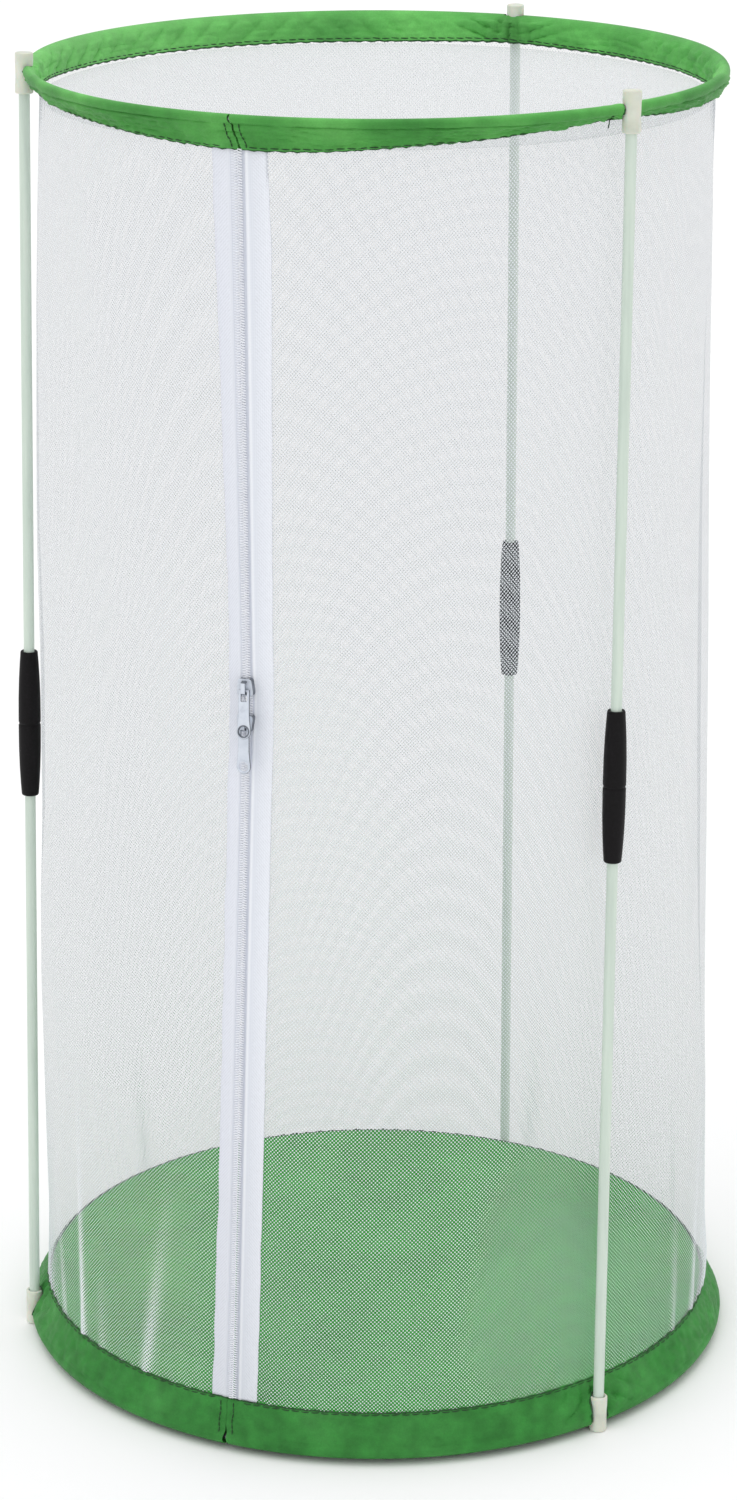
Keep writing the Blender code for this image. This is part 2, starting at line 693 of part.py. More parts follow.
def make_ferrule(name, middle, frame, material):
    """A spindle-shaped tube over the meeting of the two halves."""
    radius = FERRULE_DIAMETER / 2
    half = FERRULE_LENGTH / 2
    upper = [(radius * wide, half * far) for far, wide in FERRULE_PROFILE_SHARES]
    end_radius = radius * FERRULE_PROFILE_SHARES[-1][1] - ROD_CHAMFER
    upper += [(end_radius, half), (SOCKET_RADIUS, half)]
    lower = [(wide, -far) for wide, far in reversed(upper)]
    groove = [(radius, -FERRULE_SEAM), (radius - FERRULE_SEAM, 0), (radius, FERRULE_SEAM)]
    profile = [(wide, middle + up) for wide, up in lower + groove + upper]
    return make_turned(name, profile, FERRULE_SIDES, True, frame, material)


def connector_profile(tail):
    """From the closed end, past the waist at the wire, to the mouth and down into the socket."""
    wide = CONNECTOR_DIAMETER / 2
    waist = CONNECTOR_WAIST_DIAMETER / 2
    edge = CONNECTOR_EDGE
    return [
        (0, -tail),
        (waist - edge, -tail),
        (waist, -tail + edge),
        (waist, SOCKET_FLOOR - edge),
        (wide, SOCKET_FLOOR),
        (wide, CONNECTOR_HEAD - edge),
        (wide - edge, CONNECTOR_HEAD),
        (SOCKET_RADIUS + SOCKET_LEAD_IN, CONNECTOR_HEAD),
        (SOCKET_RADIUS, CONNECTOR_HEAD - SOCKET_LEAD_IN),
        (SOCKET_RADIUS, SOCKET_FLOOR),
        (0, SOCKET_FLOOR),
    ]


def make_connector(name, tail, frame, material):
    """A turned plug with a slot, open towards the cage, that snaps over the wire."""
    connector = make_turned(name, connector_profile(tail), CONNECTOR_SIDES, False, frame, material)
    reach = CONNECTOR_DIAMETER / 2 + OVERRUN
    slot = arc_points((-ROD_OFFSET, 0), SLOT_RADIUS, 90.0, -90.0, SLOT_ARC_STEPS)
    slot += [(-reach, -SLOT_RADIUS), (-reach, SLOT_RADIUS)]
    cutter = prism([(x, -reach, z) for x, z in slot], Vector((0, reach + reach, 0)))
    helper = hide_helper(finish_object(name + "_slot", cutter))
    helper.matrix_world = frame
    return cut(connector, helper)


def make_ground_cutter():
    """Everything below the ground, which trims the feet level."""
    wide = BOTTOM_HOOP_RADIUS + CONNECTOR_DIAMETER
    corners = [(-wide, -wide, 0), (wide, -wide, 0), (wide, wide, 0), (-wide, wide, 0)]
    return hide_helper(finish_object("ground", prism(corners, Vector((0, 0, -CONNECTOR_TAIL)))))


def make_rod(side, bottom_clock, top_clock, ferrule_height, ground, materials):
    """One rod with its ferrule and both connectors."""
    frame, length = rod_frame(bottom_clock, top_clock)
    top_frame = frame @ Matrix.Translation((0, 0, length)) @ Matrix.Rotation(math.pi, 4, "X")
    foot = make_connector("bottom_connector_" + side, CONNECTOR_TAIL + GAP, frame, materials["connector"])
    cut(foot, ground)
    make_connector("top_connector_" + side, CONNECTOR_TAIL, top_frame, materials["connector"])
    middle = (ferrule_height - BOTTOM_WIRE_HEIGHT) / frame.col[2].z
    seat = SOCKET_FLOOR + GAP
    make_rod_half("lower_rod_" + side, seat, middle - GAP / 2, frame, materials["rod"])
    make_rod_half("upper_rod_" + side, middle + GAP / 2, length - seat, frame, materials["rod"])
    make_ferrule("ferrule_" + side, middle, frame, materials["ferrule"])


def main():
    clear_scene()
    materials = make_materials()
    steel = materials["steel"]
    make_hoop("top_hoop_wire", TOP_HOOP_RADIUS, TOP_WIRE_HEIGHT, steel)
    make_hoop("bottom_hoop_wire", BOTTOM_HOOP_RADIUS, BOTTOM_WIRE_HEIGHT, steel)
    make_crimp("top_hoop_crimp", TOP_HOOP_RADIUS, TOP_WIRE_HEIGHT, steel)
    make_crimp("bottom_hoop_crimp", BOTTOM_HOOP_RADIUS, BOTTOM_WIRE_HEIGHT, steel)
    top_clocks = [rod[2] for rod in RODS]
    bottom_clocks = [rod[1] for rod in RODS]
    green = materials["top_cloth"]
    top = (TOP_HOOP_RADIUS, TOP_WIRE_HEIGHT, TOP_SEAM, TOP_NOTCH_DEPTH)
    make_sleeve("top_sleeve", top_clocks, ZIP_HEAD_CLOCK, *top, green)
    green = materials["bottom_cloth"]
    bottom = (BOTTOM_HOOP_RADIUS, BOTTOM_WIRE_HEIGHT, BOTTOM_SEAM, BOTTOM_NOTCH_DEPTH)
    make_sleeve("bottom_sleeve", bottom_clocks, ZIP_FOOT_CLOCK, *bottom, green)
    make_disc("top_net", TOP_SEAM, NET, TOP_NET_SAG, materials["net"])
    make_disc("floor_cloth", BOTTOM_SEAM, CLOTH, FLOOR_SAG, green)
    make_net_wall(materials["net"])
    for name, hand in (("left", -1), ("right", 1)):
        make_tape("zip_tape_" + name, hand, materials["tape"])
        make_coil("zip_coil_" + name, hand, materials["coil"])
    make_slider("upper_slider", UPPER_SLIDER_HEIGHT, False, materials["slider"])
    make_slider("lower_slider", LOWER_SLIDER_HEIGHT, True, materials["slider"])
    make_pull("upper_pull", UPPER_SLIDER_HEIGHT, UPPER_PULL_TILT, materials["slider"])
    make_pull("lower_pull", LOWER_SLIDER_HEIGHT, LOWER_PULL_TILT, materials["slider"])
    ground = make_ground_cutter()
    for side, bottom_clock, top_clock, ferrule_height in RODS:
        make_rod(side, bottom_clock, top_clock, ferrule_height, ground, materials)


main()
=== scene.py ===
# The looks of the insect cage: finer pieces over the CAD model, materials, light and camera.
# Metres, +Z up. The origin is on the ground under the middle of the cage, and the viewer stands at -Y.
# A clock angle runs in degrees from -Y towards +X, as in part.py, whose sizes are repeated here.
# A share runs from 0 to 1 along or across a piece.

import math

import bmesh
import bpy
from mathutils import Matrix, Vector, noise


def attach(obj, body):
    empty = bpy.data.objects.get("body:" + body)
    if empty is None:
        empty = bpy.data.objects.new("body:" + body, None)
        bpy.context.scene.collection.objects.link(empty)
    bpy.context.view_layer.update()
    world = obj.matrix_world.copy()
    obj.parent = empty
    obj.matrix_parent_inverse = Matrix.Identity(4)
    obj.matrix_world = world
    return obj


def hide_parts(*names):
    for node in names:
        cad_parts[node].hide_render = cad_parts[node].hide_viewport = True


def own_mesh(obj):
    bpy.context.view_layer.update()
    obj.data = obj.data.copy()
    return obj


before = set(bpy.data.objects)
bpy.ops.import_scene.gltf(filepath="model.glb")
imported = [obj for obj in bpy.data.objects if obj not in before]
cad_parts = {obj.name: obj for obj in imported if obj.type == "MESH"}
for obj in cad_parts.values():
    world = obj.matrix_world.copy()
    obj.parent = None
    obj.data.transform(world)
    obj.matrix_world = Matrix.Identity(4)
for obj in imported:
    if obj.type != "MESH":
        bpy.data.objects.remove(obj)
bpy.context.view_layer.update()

# Sizes shared with part.py
hoops = {
    "top": {"radius": 0.1557, "height": 0.6111, "seamRadius": 0.1520, "seamHeight": 0.6000},
    "bottom": {"radius": 0.1667, "height": 0.0060, "seamRadius": 0.1603, "seamHeight": 0.0220},
}
zipPlaces = {"footClock": -24.0, "kneeClock": -20.9, "headClock": -22.1, "kneeHeight": 0.35745}
# Clock angles at the foot and the head, and the height of the ferrule's middle
rodPlaces = {
    "left": (-82.6, -86.2, 0.3068),
    "right": (37.8, 43.2, 0.3123),
    "back": (156.0, 154.8, 0.3150),
}
rodOffset = 0.0018
wallFoot = 0.02255
wallHead = 0.59945
wallHeight = wallHead - wallFoot


def linear(value):
    return value / 12.92 if value <= 0.04045 else ((value + 0.055) / 1.055) ** 2.4


def colour(red, green, blue):
    # A colour as 0 to 255 levels in a picture, turned into linear values
    return (linear(red / 255), linear(green / 255), linear(blue / 255), 1.0)


def outward(clock):
    angle = math.radians(clock)
    return Vector((math.sin(angle), -math.cos(angle), 0))


def sideways(clock):
    angle = math.radians(clock)
    return Vector((math.cos(angle), math.sin(angle), 0))


def atClock(radius, clock, height):
    return outward(clock) * radius + Vector((0, 0, height))


def bell(away, half):
    return math.exp(-((away / half) ** 2))


def wrapped(angle):
    return (angle + 180.0) % 360.0 - 180.0


def between(value, table):
    # Straight steps between the rows of a table of (value, result)
    for (low, first), (high, second) in zip(table, table[1:]):
        if value <= high:
            share = max(0.0, (value - low) / (high - low))
            return first + (second - first) * share
    return table[-1][1]


def smooth(share):
    share = max(0.0, min(1.0, share))
    return share * share * (3 - 2 * share)


def noiseRound(clock, size, height):
    # Noise that closes round the cage
    turn = math.radians(clock)
    return noise.noise(Vector((math.sin(turn) * size, math.cos(turn) * size, height)))


# Materials


def newMaterial(name, base, roughness, metallic=0.0, gloss=0.5):
    material = bpy.data.materials.new(name)
    material.use_nodes = True
    shader = material.node_tree.nodes["Principled BSDF"]
    values = {"Base Color": base, "Roughness": roughness, "Metallic": metallic, "Specular IOR Level": gloss}
    for key, value in values.items():
        shader.inputs[key].default_value = value
    return material, material.node_tree, shader


def addNode(tree, kind, inputs=None, **settings):
    made = tree.nodes.new(kind)
    for key, value in settings.items():
        setattr(made, key, value)
    for key, value in (inputs or {}).items():
        if isinstance(value, bpy.types.NodeSocket):
            tree.links.new(value, made.inputs[key])
        else:
            made.inputs[key].default_value = value
    return made


def doMath(tree, operation, first, second=0.0, third=0.0):
    inputs = {0: first, 1: second, 2: third}
    return addNode(tree, "ShaderNodeMath", inputs, operation=operation).outputs[0]


def product(tree, first, *others):
    for other in others:
        first = doMath(tree, "MULTIPLY", first, other)
    return first


def ripple(tree, place, rate):
    # Up and down between 0 and 0.5, at this rate per metre
    return doMath(tree, "PINGPONG", product(tree, place, rate), 0.5)


def evened(tree, value, spread):
    # A value from 0 to 1, narrowed to this spread round 1
    return doMath(tree, "MULTIPLY_ADD", value, spread, 1 - spread / 2)


def scaled(tree, shades, factor):
    return addNode(tree, "ShaderNodeVectorMath", {0: shades, "Scale": factor}, operation="SCALE").outputs[0]


def partsOf(tree, layer):
    # The two numbers of a layer of coordinates, and the layer itself. The weave's are metres along the cloth.
    uv = addNode(tree, "ShaderNodeUVMap", uv_map=layer)
    parts = addNode(tree, "ShaderNodeSeparateXYZ", {0: uv.outputs[0]})
    return parts.outputs[0], parts.outputs[1], uv.outputs[0]


def objectPlace(tree):
    return addNode(tree, "ShaderNodeTexCoord").outputs["Object"]


def noiseAt(tree, place, scale, detail=3.0, stretch=None):
    if stretch:
        place = addNode(tree, "ShaderNodeMapping", {"Vector": place, "Scale": stretch}).outputs[0]
    return addNode(tree, "ShaderNodeTexNoise", {"Vector": place, "Scale": scale, "Detail": detail}).outputs[0]


def rampOf(tree, factor, stops):
    ramp = addNode(tree, "ShaderNodeValToRGB", {0: factor})
    bar = ramp.color_ramp
    bar.elements[0].position, bar.elements[0].color = stops[0]
    bar.elements[1].position, bar.elements[1].color = stops[-1]
    for place, shade in stops[1:-1]:
        bar.elements.new(place).color = shade
    return ramp.outputs[0]


def bumpInto(tree, shader, height, strength, distance):
    bump = addNode(tree, "ShaderNodeBump", {"Height": height, "Strength": strength, "Distance": distance})
    tree.links.new(bump.outputs[0], shader.inputs["Normal"])


# across and up: the mesh's period in metres. yarnShare and knotRadius: as shares of it. denser: what gathers
# add to the knots. haze: how far fine fibres bridge the holes and dim what lies behind.
netLook = {
    "yarn": (236, 240, 245), "darker": 8, "lighter": 6, "fibre": 900.0, "across": 0.0017, "up": 0.00186,
    "yarnShare": 0.020, "knotRadius": 0.25, "denser": 0.32, "haze": 0.135, "hazeColour": (58, 62, 70),
    "roughness": 0.75, "gloss": 0.2,
}


def makeNetMaterial(name):
    # A knit lattice: two slanted families of yarn with fuller knots where they cross
    look = netLook
    yarn = look["yarn"]
    material, tree, shader = newMaterial(name, colour(*yarn), look["roughness"], gloss=look["gloss"])
    along, up, _ = partsOf(tree, "weave")
    across = doMath(tree, "DIVIDE", along, look["across"])
    rise = doMath(tree, "DIVIDE", up, look["up"])
    ways = [doMath(tree, "PINGPONG", doMath(tree, way, across, rise), 0.5) for way in ("ADD", "SUBTRACT")]
    yarns = [doMath(tree, "LESS_THAN", way, look["yarnShare"]) for way in ways]
    spread = doMath(tree, "SQRT", doMath(tree, "ADD", *[doMath(tree, "POWER", way, 2.0) for way in ways]))
    # Where the net is gathered, its holes close up
    radius = doMath(tree, "MULTIPLY_ADD", partsOf(tree, "shade")[0], look["denser"], look["knotRadius"])
    mask = doMath(tree, "MAXIMUM", doMath(tree, "MAXIMUM", *yarns), doMath(tree, "LESS_THAN", spread, radius))
    tree.links.new(doMath(tree, "MAXIMUM", mask, look["haze"]), shader.inputs["Alpha"])
    fibre = noiseAt(tree, objectPlace(tree), look["fibre"], 2.0)
    dark = colour(*(level - look["darker"] for level in yarn))
    light = colour(*(level + look["lighter"] for level in yarn))
    inputs = {
        "Factor": mask, 6: colour(*look["hazeColour"]), 7: rampOf(tree, fibre, [(0.3, dark), (0.7, light)]),
    }
    mixed = addNode(tree, "ShaderNodeMix", inputs, data_type="RGBA")
    tree.links.new(mixed.outputs[2], shader.inputs["Base Color"])
    return material


# warp, weft, drift, blotch and speck: rates per metre
# paintedLightPale: the pale green that painted light mixes in on the sleeves' inner faces
clothLook = {
    "warp": 2600.0, "weft": 2200.0, "weaveSpread": 0.10, "drift": 26.0, "blotch": 130.0, "speck": 1300.0,
    "speckSpread": 0.36, "leastShade": 0.8, "paintedLightPale": (178, 214, 160), "creases": (90.0, 420.0, 1.0),
    "creaseDepth": 3.0, "bump": 0.5, "depth": 0.00025, "gloss": 0.22,
}


def makeClothMaterial(name, base, lighter, darker, roughness=0.5, mottle=0.44):
    # Close-woven satin: fine yarns both ways and a slow change of shade along the strip
    look = clothLook
    material, tree, shader = newMaterial(name, colour(*base), roughness, gloss=look["gloss"])
    along, up, uv = partsOf(tree, "weave")
    weave = doMath(tree, "ADD", ripple(tree, along, look["warp"]), ripple(tree, up, look["weft"]))
    slow = noiseAt(tree, objectPlace(tree), look["drift"], 4.0)
    shades = rampOf(tree, slow, [(0.25, colour(*darker)), (0.5, colour(*base)), (0.78, colour(*lighter))])
    # The shade layer holds painted light and shade: a factor on the colour, and how much of the painted-light
    # pale is mixed in
    shade, paintedPaleness, _ = partsOf(tree, "shade")
    blotch = evened(tree, noiseAt(tree, objectPlace(tree), look["blotch"], 3.0), mottle)
    speck = evened(tree, noiseAt(tree, objectPlace(tree), look["speck"], 2.0), look["speckSpread"])
    fine = product(tree, evened(tree, weave, look["weaveSpread"]), product(tree, blotch, speck))
    fine = product(tree, fine, doMath(tree, "MAXIMUM", shade, look["leastShade"]))
    inputs = {0: paintedPaleness, 6: scaled(tree, shades, fine), 7: colour(*look["paintedLightPale"])}
    pale = addNode(tree, "ShaderNodeMix", inputs, data_type="RGBA")
    tree.links.new(pale.outputs[2], shader.inputs["Base Color"])
    crease = noiseAt(tree, uv, 1.0, 4.0, look["creases"])
    height = doMath(tree, "MULTIPLY_ADD", crease, look["creaseDepth"], weave)
    bumpInto(tree, shader, height, look["bump"], look["depth"])
    return material


# Distances in metres from the chain out. Slanted rows of loops show on the outer half, and beside the left chain
# the gaps between its sewing threads, in painted shade.
# low: where the tape is darker towards the bottom, in painted shade, and how dark. tones: across it, with painted
# shade lines beside the chain and a painted highlight on the right tape's raised strip.
tapeLook = {
    "base": (232, 234, 241), "roughness": 0.7, "gloss": 0.2, "width": 0.0125, "rib": 1100.0, "weft": 1500.0,
    "weaveSpread": 0.08, "weaveLeast": 0.955, "loopRate": 620.0, "loopNoise": (700.0, 420.0, 1.0),
    "loopStart": 0.0056, "loopDepth": 0.42, "loopLift": 0.052, "gapShare": 0.17, "gapReach": 0.0036,
    "gapDepth": 0.14, "low": (0.02, 0.20, 0.93), "bump": 0.5, "depth": 0.0002,
    "tones": {
        "left": (
            (0.0, (240, 243, 250)), (0.0015, (238, 241, 249)), (0.0018, (234, 237, 245)),
            (0.0034, (231, 234, 243)), (0.0037, (219, 223, 233)), (0.0042, (230, 233, 241)),
            (0.0125, (227, 230, 239)),
        ),
        "right": (
            (0.0, (232, 235, 243)), (0.0016, (222, 226, 236)), (0.0022, (215, 219, 230)),
            (0.0026, (242, 245, 250)), (0.0035, (240, 243, 249)), (0.0040, (226, 230, 238)),
            (0.0125, (236, 239, 246)),
        ),
    },
}


def makeTapeMaterial(name):
    # Narrow woven tape: ribs along it, crossed by fine weft
    look = tapeLook
    width, base = look["width"], colour(*look["base"])
    material, tree, shader = newMaterial(name + "WovenTape", base, look["roughness"], gloss=look["gloss"])
    across, along, uv = partsOf(tree, "weave")
    weave = doMath(tree, "ADD", ripple(tree, across, look["rib"]), ripple(tree, along, look["weft"]))
    # Painted shade lines beside the chain and a painted highlight on the right tape's raised strip
    stops = [(distance / width, colour(*tone)) for distance, tone in look["tones"][name]]
    tones = rampOf(tree, product(tree, across, 1 / width), stops)
    scale = doMath(tree, "MULTIPLY_ADD", weave, look["weaveSpread"], look["weaveLeast"])
    rows = ripple(tree, doMath(tree, "ADD", across, along), look["loopRate"])
    loops = product(tree, rows, noiseAt(tree, uv, 1.0, 2.0, look["loopNoise"]))
    outer = doMath(tree, "GREATER_THAN", across, look["loopStart"])
    scale = doMath(tree, "SUBTRACT", scale, product(tree, loops, outer, look["loopDepth"]))
    scale = doMath(tree, "ADD", scale, product(tree, outer, look["loopLift"]))
    if name == "left":
        # Painted shade in the gaps between the threads that sew the coil down, which make its teeth look wider
        rung = doMath(tree, "LESS_THAN", ripple(tree, along, 1 / coilShape["pitch"]), look["gapShare"])
        beside = doMath(tree, "LESS_THAN", across, look["gapReach"])
        scale = doMath(tree, "SUBTRACT", scale, product(tree, rung, beside, look["gapDepth"]))
    # Painted shade: the tape darker towards the bottom
    start, end, dimmed = look["low"]
    low = addNode(tree, "ShaderNodeMapRange", {0: along, 1: start, 2: end, 3: dimmed, 4: 1.0}).outputs[0]
    tree.links.new(scaled(tree, tones, product(tree, scale, low)), shader.inputs["Base Color"])
    bumpInto(tree, shader, weave, look["bump"], look["depth"])
    return material


def makeGrainMaterial(name, base, lighter, darker, roughness, scale, metallic=0.0, stretch=None, depth=0.00005,
                      gloss=0.5):
    # Moulded or painted stuff: a fine grain, with roughness that varies with it
    material, tree, shader = newMaterial(name, colour(*base), roughness, metallic, gloss)
    grain = noiseAt(tree, objectPlace(tree), scale, 5.0, stretch)
    shades = rampOf(tree, grain, [(0.2, colour(*darker)), (0.5, colour(*base)), (0.8, colour(*lighter))])
    tree.links.new(shades, shader.inputs["Base Color"])
    tree.links.new(doMath(tree, "MULTIPLY_ADD", grain, 0.25, roughness - 0.12), shader.inputs["Roughness"])
    bumpInto(tree, shader, grain, 0.3, depth)
    return material


# Name, base, lighter and darker colour, roughness, and the mottle of the shade
clothLooks = {
    "topCloth": ("leafSatin", (74, 152, 68), (104, 184, 92), (54, 128, 52)),
    "bottomCloth": ("darkLeafSatin", (52, 130, 54), (68, 142, 68), (42, 116, 46), 0.5, 1.0),
    "floorCloth": ("floorSatin", (46, 162, 48), (58, 174, 60), (36, 148, 38), 0.6),
}
# Name, base, lighter and darker colour, roughness, fineness of the grain, metal, stretch, depth and gloss
grainLooks = {
    "coil": ("nylonCoil", (243, 245, 251), (249, 250, 253), (232, 235, 244), 0.4, 600),
    "enamel": ("paintedZinc", (212, 219, 230), (224, 230, 239), (196, 203, 215), 0.3, 260),
    # shadowEnamel: a dark grey for painted shade on narrow walls and edges, and on the upper tab's rim
    "shadowEnamel": ("paintedShadowZinc", (98, 104, 114), (124, 130, 140), (74, 79, 88), 0.4, 260),
    "rod": ("mintFibreRod", (206, 220, 208), (216, 228, 216), (194, 208, 197), 0.42, 30, 0.0, (14, 14, 0.6)),
    # backRod: the rod's colour lightened, painted light that makes up for the shade of the net in front of the
    # back rod
    "backRod": ("backRodPaintedLight", (230, 242, 230), (238, 248, 238), (222, 236, 223), 0.42, 30, 0.0, (14, 14, 0.6)),
    "connector": ("milkyPlug", (214, 218, 204), (226, 229, 217), (198, 203, 189), 0.42, 160),
    "ferrule": ("blackSleeveTube", (14, 12, 14), (24, 22, 24), (8, 7, 8), 0.55, 900, 0.0, None, 0.00012, 0.15),
    "steel": ("drawnSteel", (170, 172, 174), (196, 198, 200), (140, 142, 146), 0.32, 200, 1.0, (6, 6, 1)),
    "thread": ("darkGreenThread", (24, 62, 28), (44, 90, 44), (14, 42, 18), 0.7, 900),
    "hem": ("darkGreenHem", (28, 76, 32), (52, 108, 50), (14, 46, 18), 0.7, 700),
}
milkiness = {"Subsurface Weight": 0.25, "Subsurface Scale": 0.002}


def makeMaterials():
    looks = {"net": makeNetMaterial("whiteKnitNet")}
    for name in ("left", "right"):
        looks[name + "Tape"] = makeTapeMaterial(name)
    for key, values in clothLooks.items():
        looks[key] = makeClothMaterial(*values)
    for key, values in grainLooks.items():
        looks[key] = makeGrainMaterial(*values)
    connector = looks["connector"].node_tree.nodes["Principled BSDF"]
    for key, value in milkiness.items():
        connector.inputs[key].default_value = value
    return looks


# Mesh helpers


def gridMesh(columns, rows, place, width=1.0, length=1.0, closed=False, shadeOf=None):
    # A grid laid out by a function of two shares, with its own size in metres as the weave's coordinates
    bm = bmesh.new()
    bmesh.ops.create_grid(bm, x_segments=columns, y_segments=rows, size=0.5)
    layer = bm.loops.layers.uv.new("weave")
    for face in bm.faces:
        for loop in face.loops:
            loop[layer].uv = ((loop.vert.co.x + 0.5) * width, (loop.vert.co.y + 0.5) * length)
    if shadeOf:
        shades = bm.loops.layers.uv.new("shade")
        for face in bm.faces:
            for loop in face.loops:
                loop[shades].uv = shadeOf(loop.vert.co.x + 0.5, loop.vert.co.y + 0.5)
    for vert in bm.verts:
        vert.co = place(vert.co.x + 0.5, vert.co.y + 0.5)
    if closed:
        bmesh.ops.remove_doubles(bm, verts=bm.verts, dist=0.0000005)
    return bm


def placeObject(name, data):
    made = bpy.data.objects.new(name, data)
    bpy.context.collection.objects.link(made)
    return made


def objectFrom(name, bm):
    mesh = bpy.data.meshes.new(name)
    bm.to_mesh(mesh)
    bm.free()
    return placeObject(name, mesh)


def addPiece(name, bm, material, body, slot, replaces=(), smoothAngle=40.0, solid=False):
    if solid:
        bmesh.ops.recalc_face_normals(bm, faces=bm.faces)
    piece = objectFrom(name, bm)
    piece.data.shade_smooth()
    if smoothAngle:
        piece.data.set_sharp_from_angle(angle=math.radians(smoothAngle))
    piece.data.materials.append(material)
    if body:
        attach(piece, body)
    if replaces:
        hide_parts(*replaces)
    return piece


def joinInto(whole, part):
    mesh = bpy.data.meshes.new("part")
    part.to_mesh(mesh)
    part.free()
    whole.from_mesh(mesh)
    bpy.data.meshes.remove(mesh)


def applyModifiers(piece):
    graph = bpy.context.evaluated_depsgraph_get()
    baked = bpy.data.meshes.new_from_object(piece.evaluated_get(graph), depsgraph=graph)
    piece.modifiers.clear()
    old = piece.data
    piece.data = baked
    bpy.data.meshes.remove(old)


def thicken(piece, thickness):
    modifier = piece.modifiers.new("thickness", "SOLIDIFY")
    modifier.thickness = thickness
    modifier.offset = 0.0
    applyModifiers(piece)


def cutWith(piece, cutters, operation="DIFFERENCE"):
    # Booleans whose helpers are removed once the result is in the mesh
    for cutter in cutters:
        modifier = piece.modifiers.new("cut", "BOOLEAN")
        modifier.operation = operation
        modifier.solver = "EXACT"
        modifier.object = cutter
        cutter.hide_render = True
    applyModifiers(piece)
    for cutter in cutters:
        mesh = cutter.data
        bpy.data.objects.remove(cutter, do_unlink=True)
        bpy.data.meshes.remove(mesh)


def helperFrom(bm):
    bmesh.ops.recalc_face_normals(bm, faces=bm.faces)
    return objectFrom("helper", bm)


def sharpenAgain(piece):
    piece.data.shade_smooth()
    piece.data.set_sharp_from_angle(angle=math.radians(50))


def softenEdges(piece, width, segments=2, angle=30.0):
    modifier = piece.modifiers.new("edges", "BEVEL")
    modifier.width = width
    modifier.segments = segments
    modifier.limit_method = "ANGLE"
    modifier.angle_limit = math.radians(angle)
    applyModifiers(piece)
    sharpenAgain(piece)


def spun(points, steps, matrix):
    # A profile of (radius, height) points turned once round Z. The ends on the axis close it
    bm = bmesh.new()
    verts = [bm.verts.new((0, -radius, height)) for radius, height in points]
    edges = [bm.edges.new(pair) for pair in zip(verts, verts[1:])]
    bmesh.ops.spin(
        bm, geom=verts + edges, cent=(0, 0, 0), axis=(0, 0, 1), angle=math.tau, steps=steps,
        use_merge=True, use_duplicate=False,
    )
    bmesh.ops.remove_doubles(bm, verts=bm.verts, dist=0.000001)
    bmesh.ops.transform(bm, matrix=matrix, verts=bm.verts)
    return bm


def prism(points, direction, matrix=None):
    bm = bmesh.new()
    face = bm.faces.new([bm.verts.new(point) for point in points])
    made = bmesh.ops.extrude_face_region(bm, geom=[face])
    moved = [item for item in made["geom"] if isinstance(item, bmesh.types.BMVert)]
    bmesh.ops.translate(bm, verts=moved, vec=direction)
    if matrix:
        bmesh.ops.transform(bm, matrix=matrix, verts=bm.verts)
    bmesh.ops.recalc_face_normals(bm, faces=bm.faces)
    return bm


def arcPoints(centre, radius, start, end, steps):
    points = []
    for step in range(steps + 1):
        angle = math.radians(start + (end - start) * step / steps)
        points.append((centre[0] + radius * math.cos(angle), centre[1] + radius * math.sin(angle)))
    return points


def tubeMesh(path, radius, sides, away):
    # A round thread along a path of points. The away direction keeps its ring from twisting
    count = len(path) - 1

    def place(share, around):
        index = round(share * count)
        on = (path[min(count, index + 1)] - path[max(0, index - 1)]).normalized()
        side = on.cross(away).normalized()
        lift = side.cross(on)
        angle = math.tau * around
        size = radius(index / count) if callable(radius) else radius
        return path[index] + (side * math.cos(angle) + lift * math.sin(angle)) * size

    return gridMesh(count, sides, place, closed=True)


# The shape of the cloth, as functions of clock angle and height


def plainRadius(height):
    top, bottom = hoops["top"], hoops["bottom"]
    share = (height - bottom["seamHeight"]) / (top["seamHeight"] - bottom["seamHeight"])
    return bottom["seamRadius"] + (top["seamRadius"] - bottom["seamRadius"]) * share


# How far the sleeve is rolled in under its wire, by clock angle, from 0 where it hangs to 1 where it is tight
sleeveRolls = {
    "top": (
        (-180.0, 0.0), (-110.0, 0.1), (-95.0, 0.35), (-86.0, 0.5), (-75.0, 0.5), (-62.0, 0.42), (-49.0, 0.24),
        (-36.0, -0.05), (-22.5, -0.24), (-14.0, -0.2), (-7.0, -0.12), (2.0, 0.16), (16.5, 0.46), (27.0, 0.75),
        (37.0, 1.0), (41.0, 1.0), (47.5, 0.93), (51.0, 0.8), (57.0, 0.6), (65.0, 0.55), (75.0, 0.3), (85.0, 0.1),
        (100.0, 0.0), (140.0, 0.1), (154.8, 0.3), (168.0, 0.1), (180.0, 0.0),
    ),
    "bottom": ((-180.0, 0.0), (25.0, 0.0), (37.8, -0.1), (50.0, 0.0), (180.0, 0.0)),
}
# turns: the clock angles over which the roll is averaged, so that the cloth has no kinks
rollShape = {"drop": 0.0066, "inset": 0.0033, "turns": (-4.5, -1.5, 1.5, 4.5)}


def rolled(which, clock):
    turns = rollShape["turns"]
    return sum(between(wrapped(clock + turn), sleeveRolls[which]) for turn in turns) / len(turns)


def seamPlace(which, clock):
    # Radius and height of the seam between a sleeve and the net
    hoop = hoops[which]
    roll = rolled(which, clock)
    towards = math.copysign(1.0, hoop["height"] - hoop["seamHeight"])
    return hoop["seamRadius"] - rollShape["inset"] * roll, hoop["seamHeight"] + towards * rollShape["drop"] * roll


# Clock angle, half width in degrees, strength, and how many degrees the fold leans from foot to head
netFolds = (
    (-101.0, 8.0, 1.0, 2.0), (-87.0, 5.0, -0.4, 0.0), (-73.0, 6.0, 0.8, -6.0), (-54.0, 6.0, -0.9, -16.0),
    (3.0, 14.0, 0.5, 4.0), (38.0, 11.0, -0.6, -3.0), (71.0, 7.0, 0.8, 5.0), (88.0, 6.0, -1.0, 0.0),
    (118.0, 12.0, 0.6, -4.0), (150.0, 10.0, -0.7, 3.0), (186.0, 12.0, 0.6, 4.0), (226.0, 10.0, -0.6, -3.0),
)
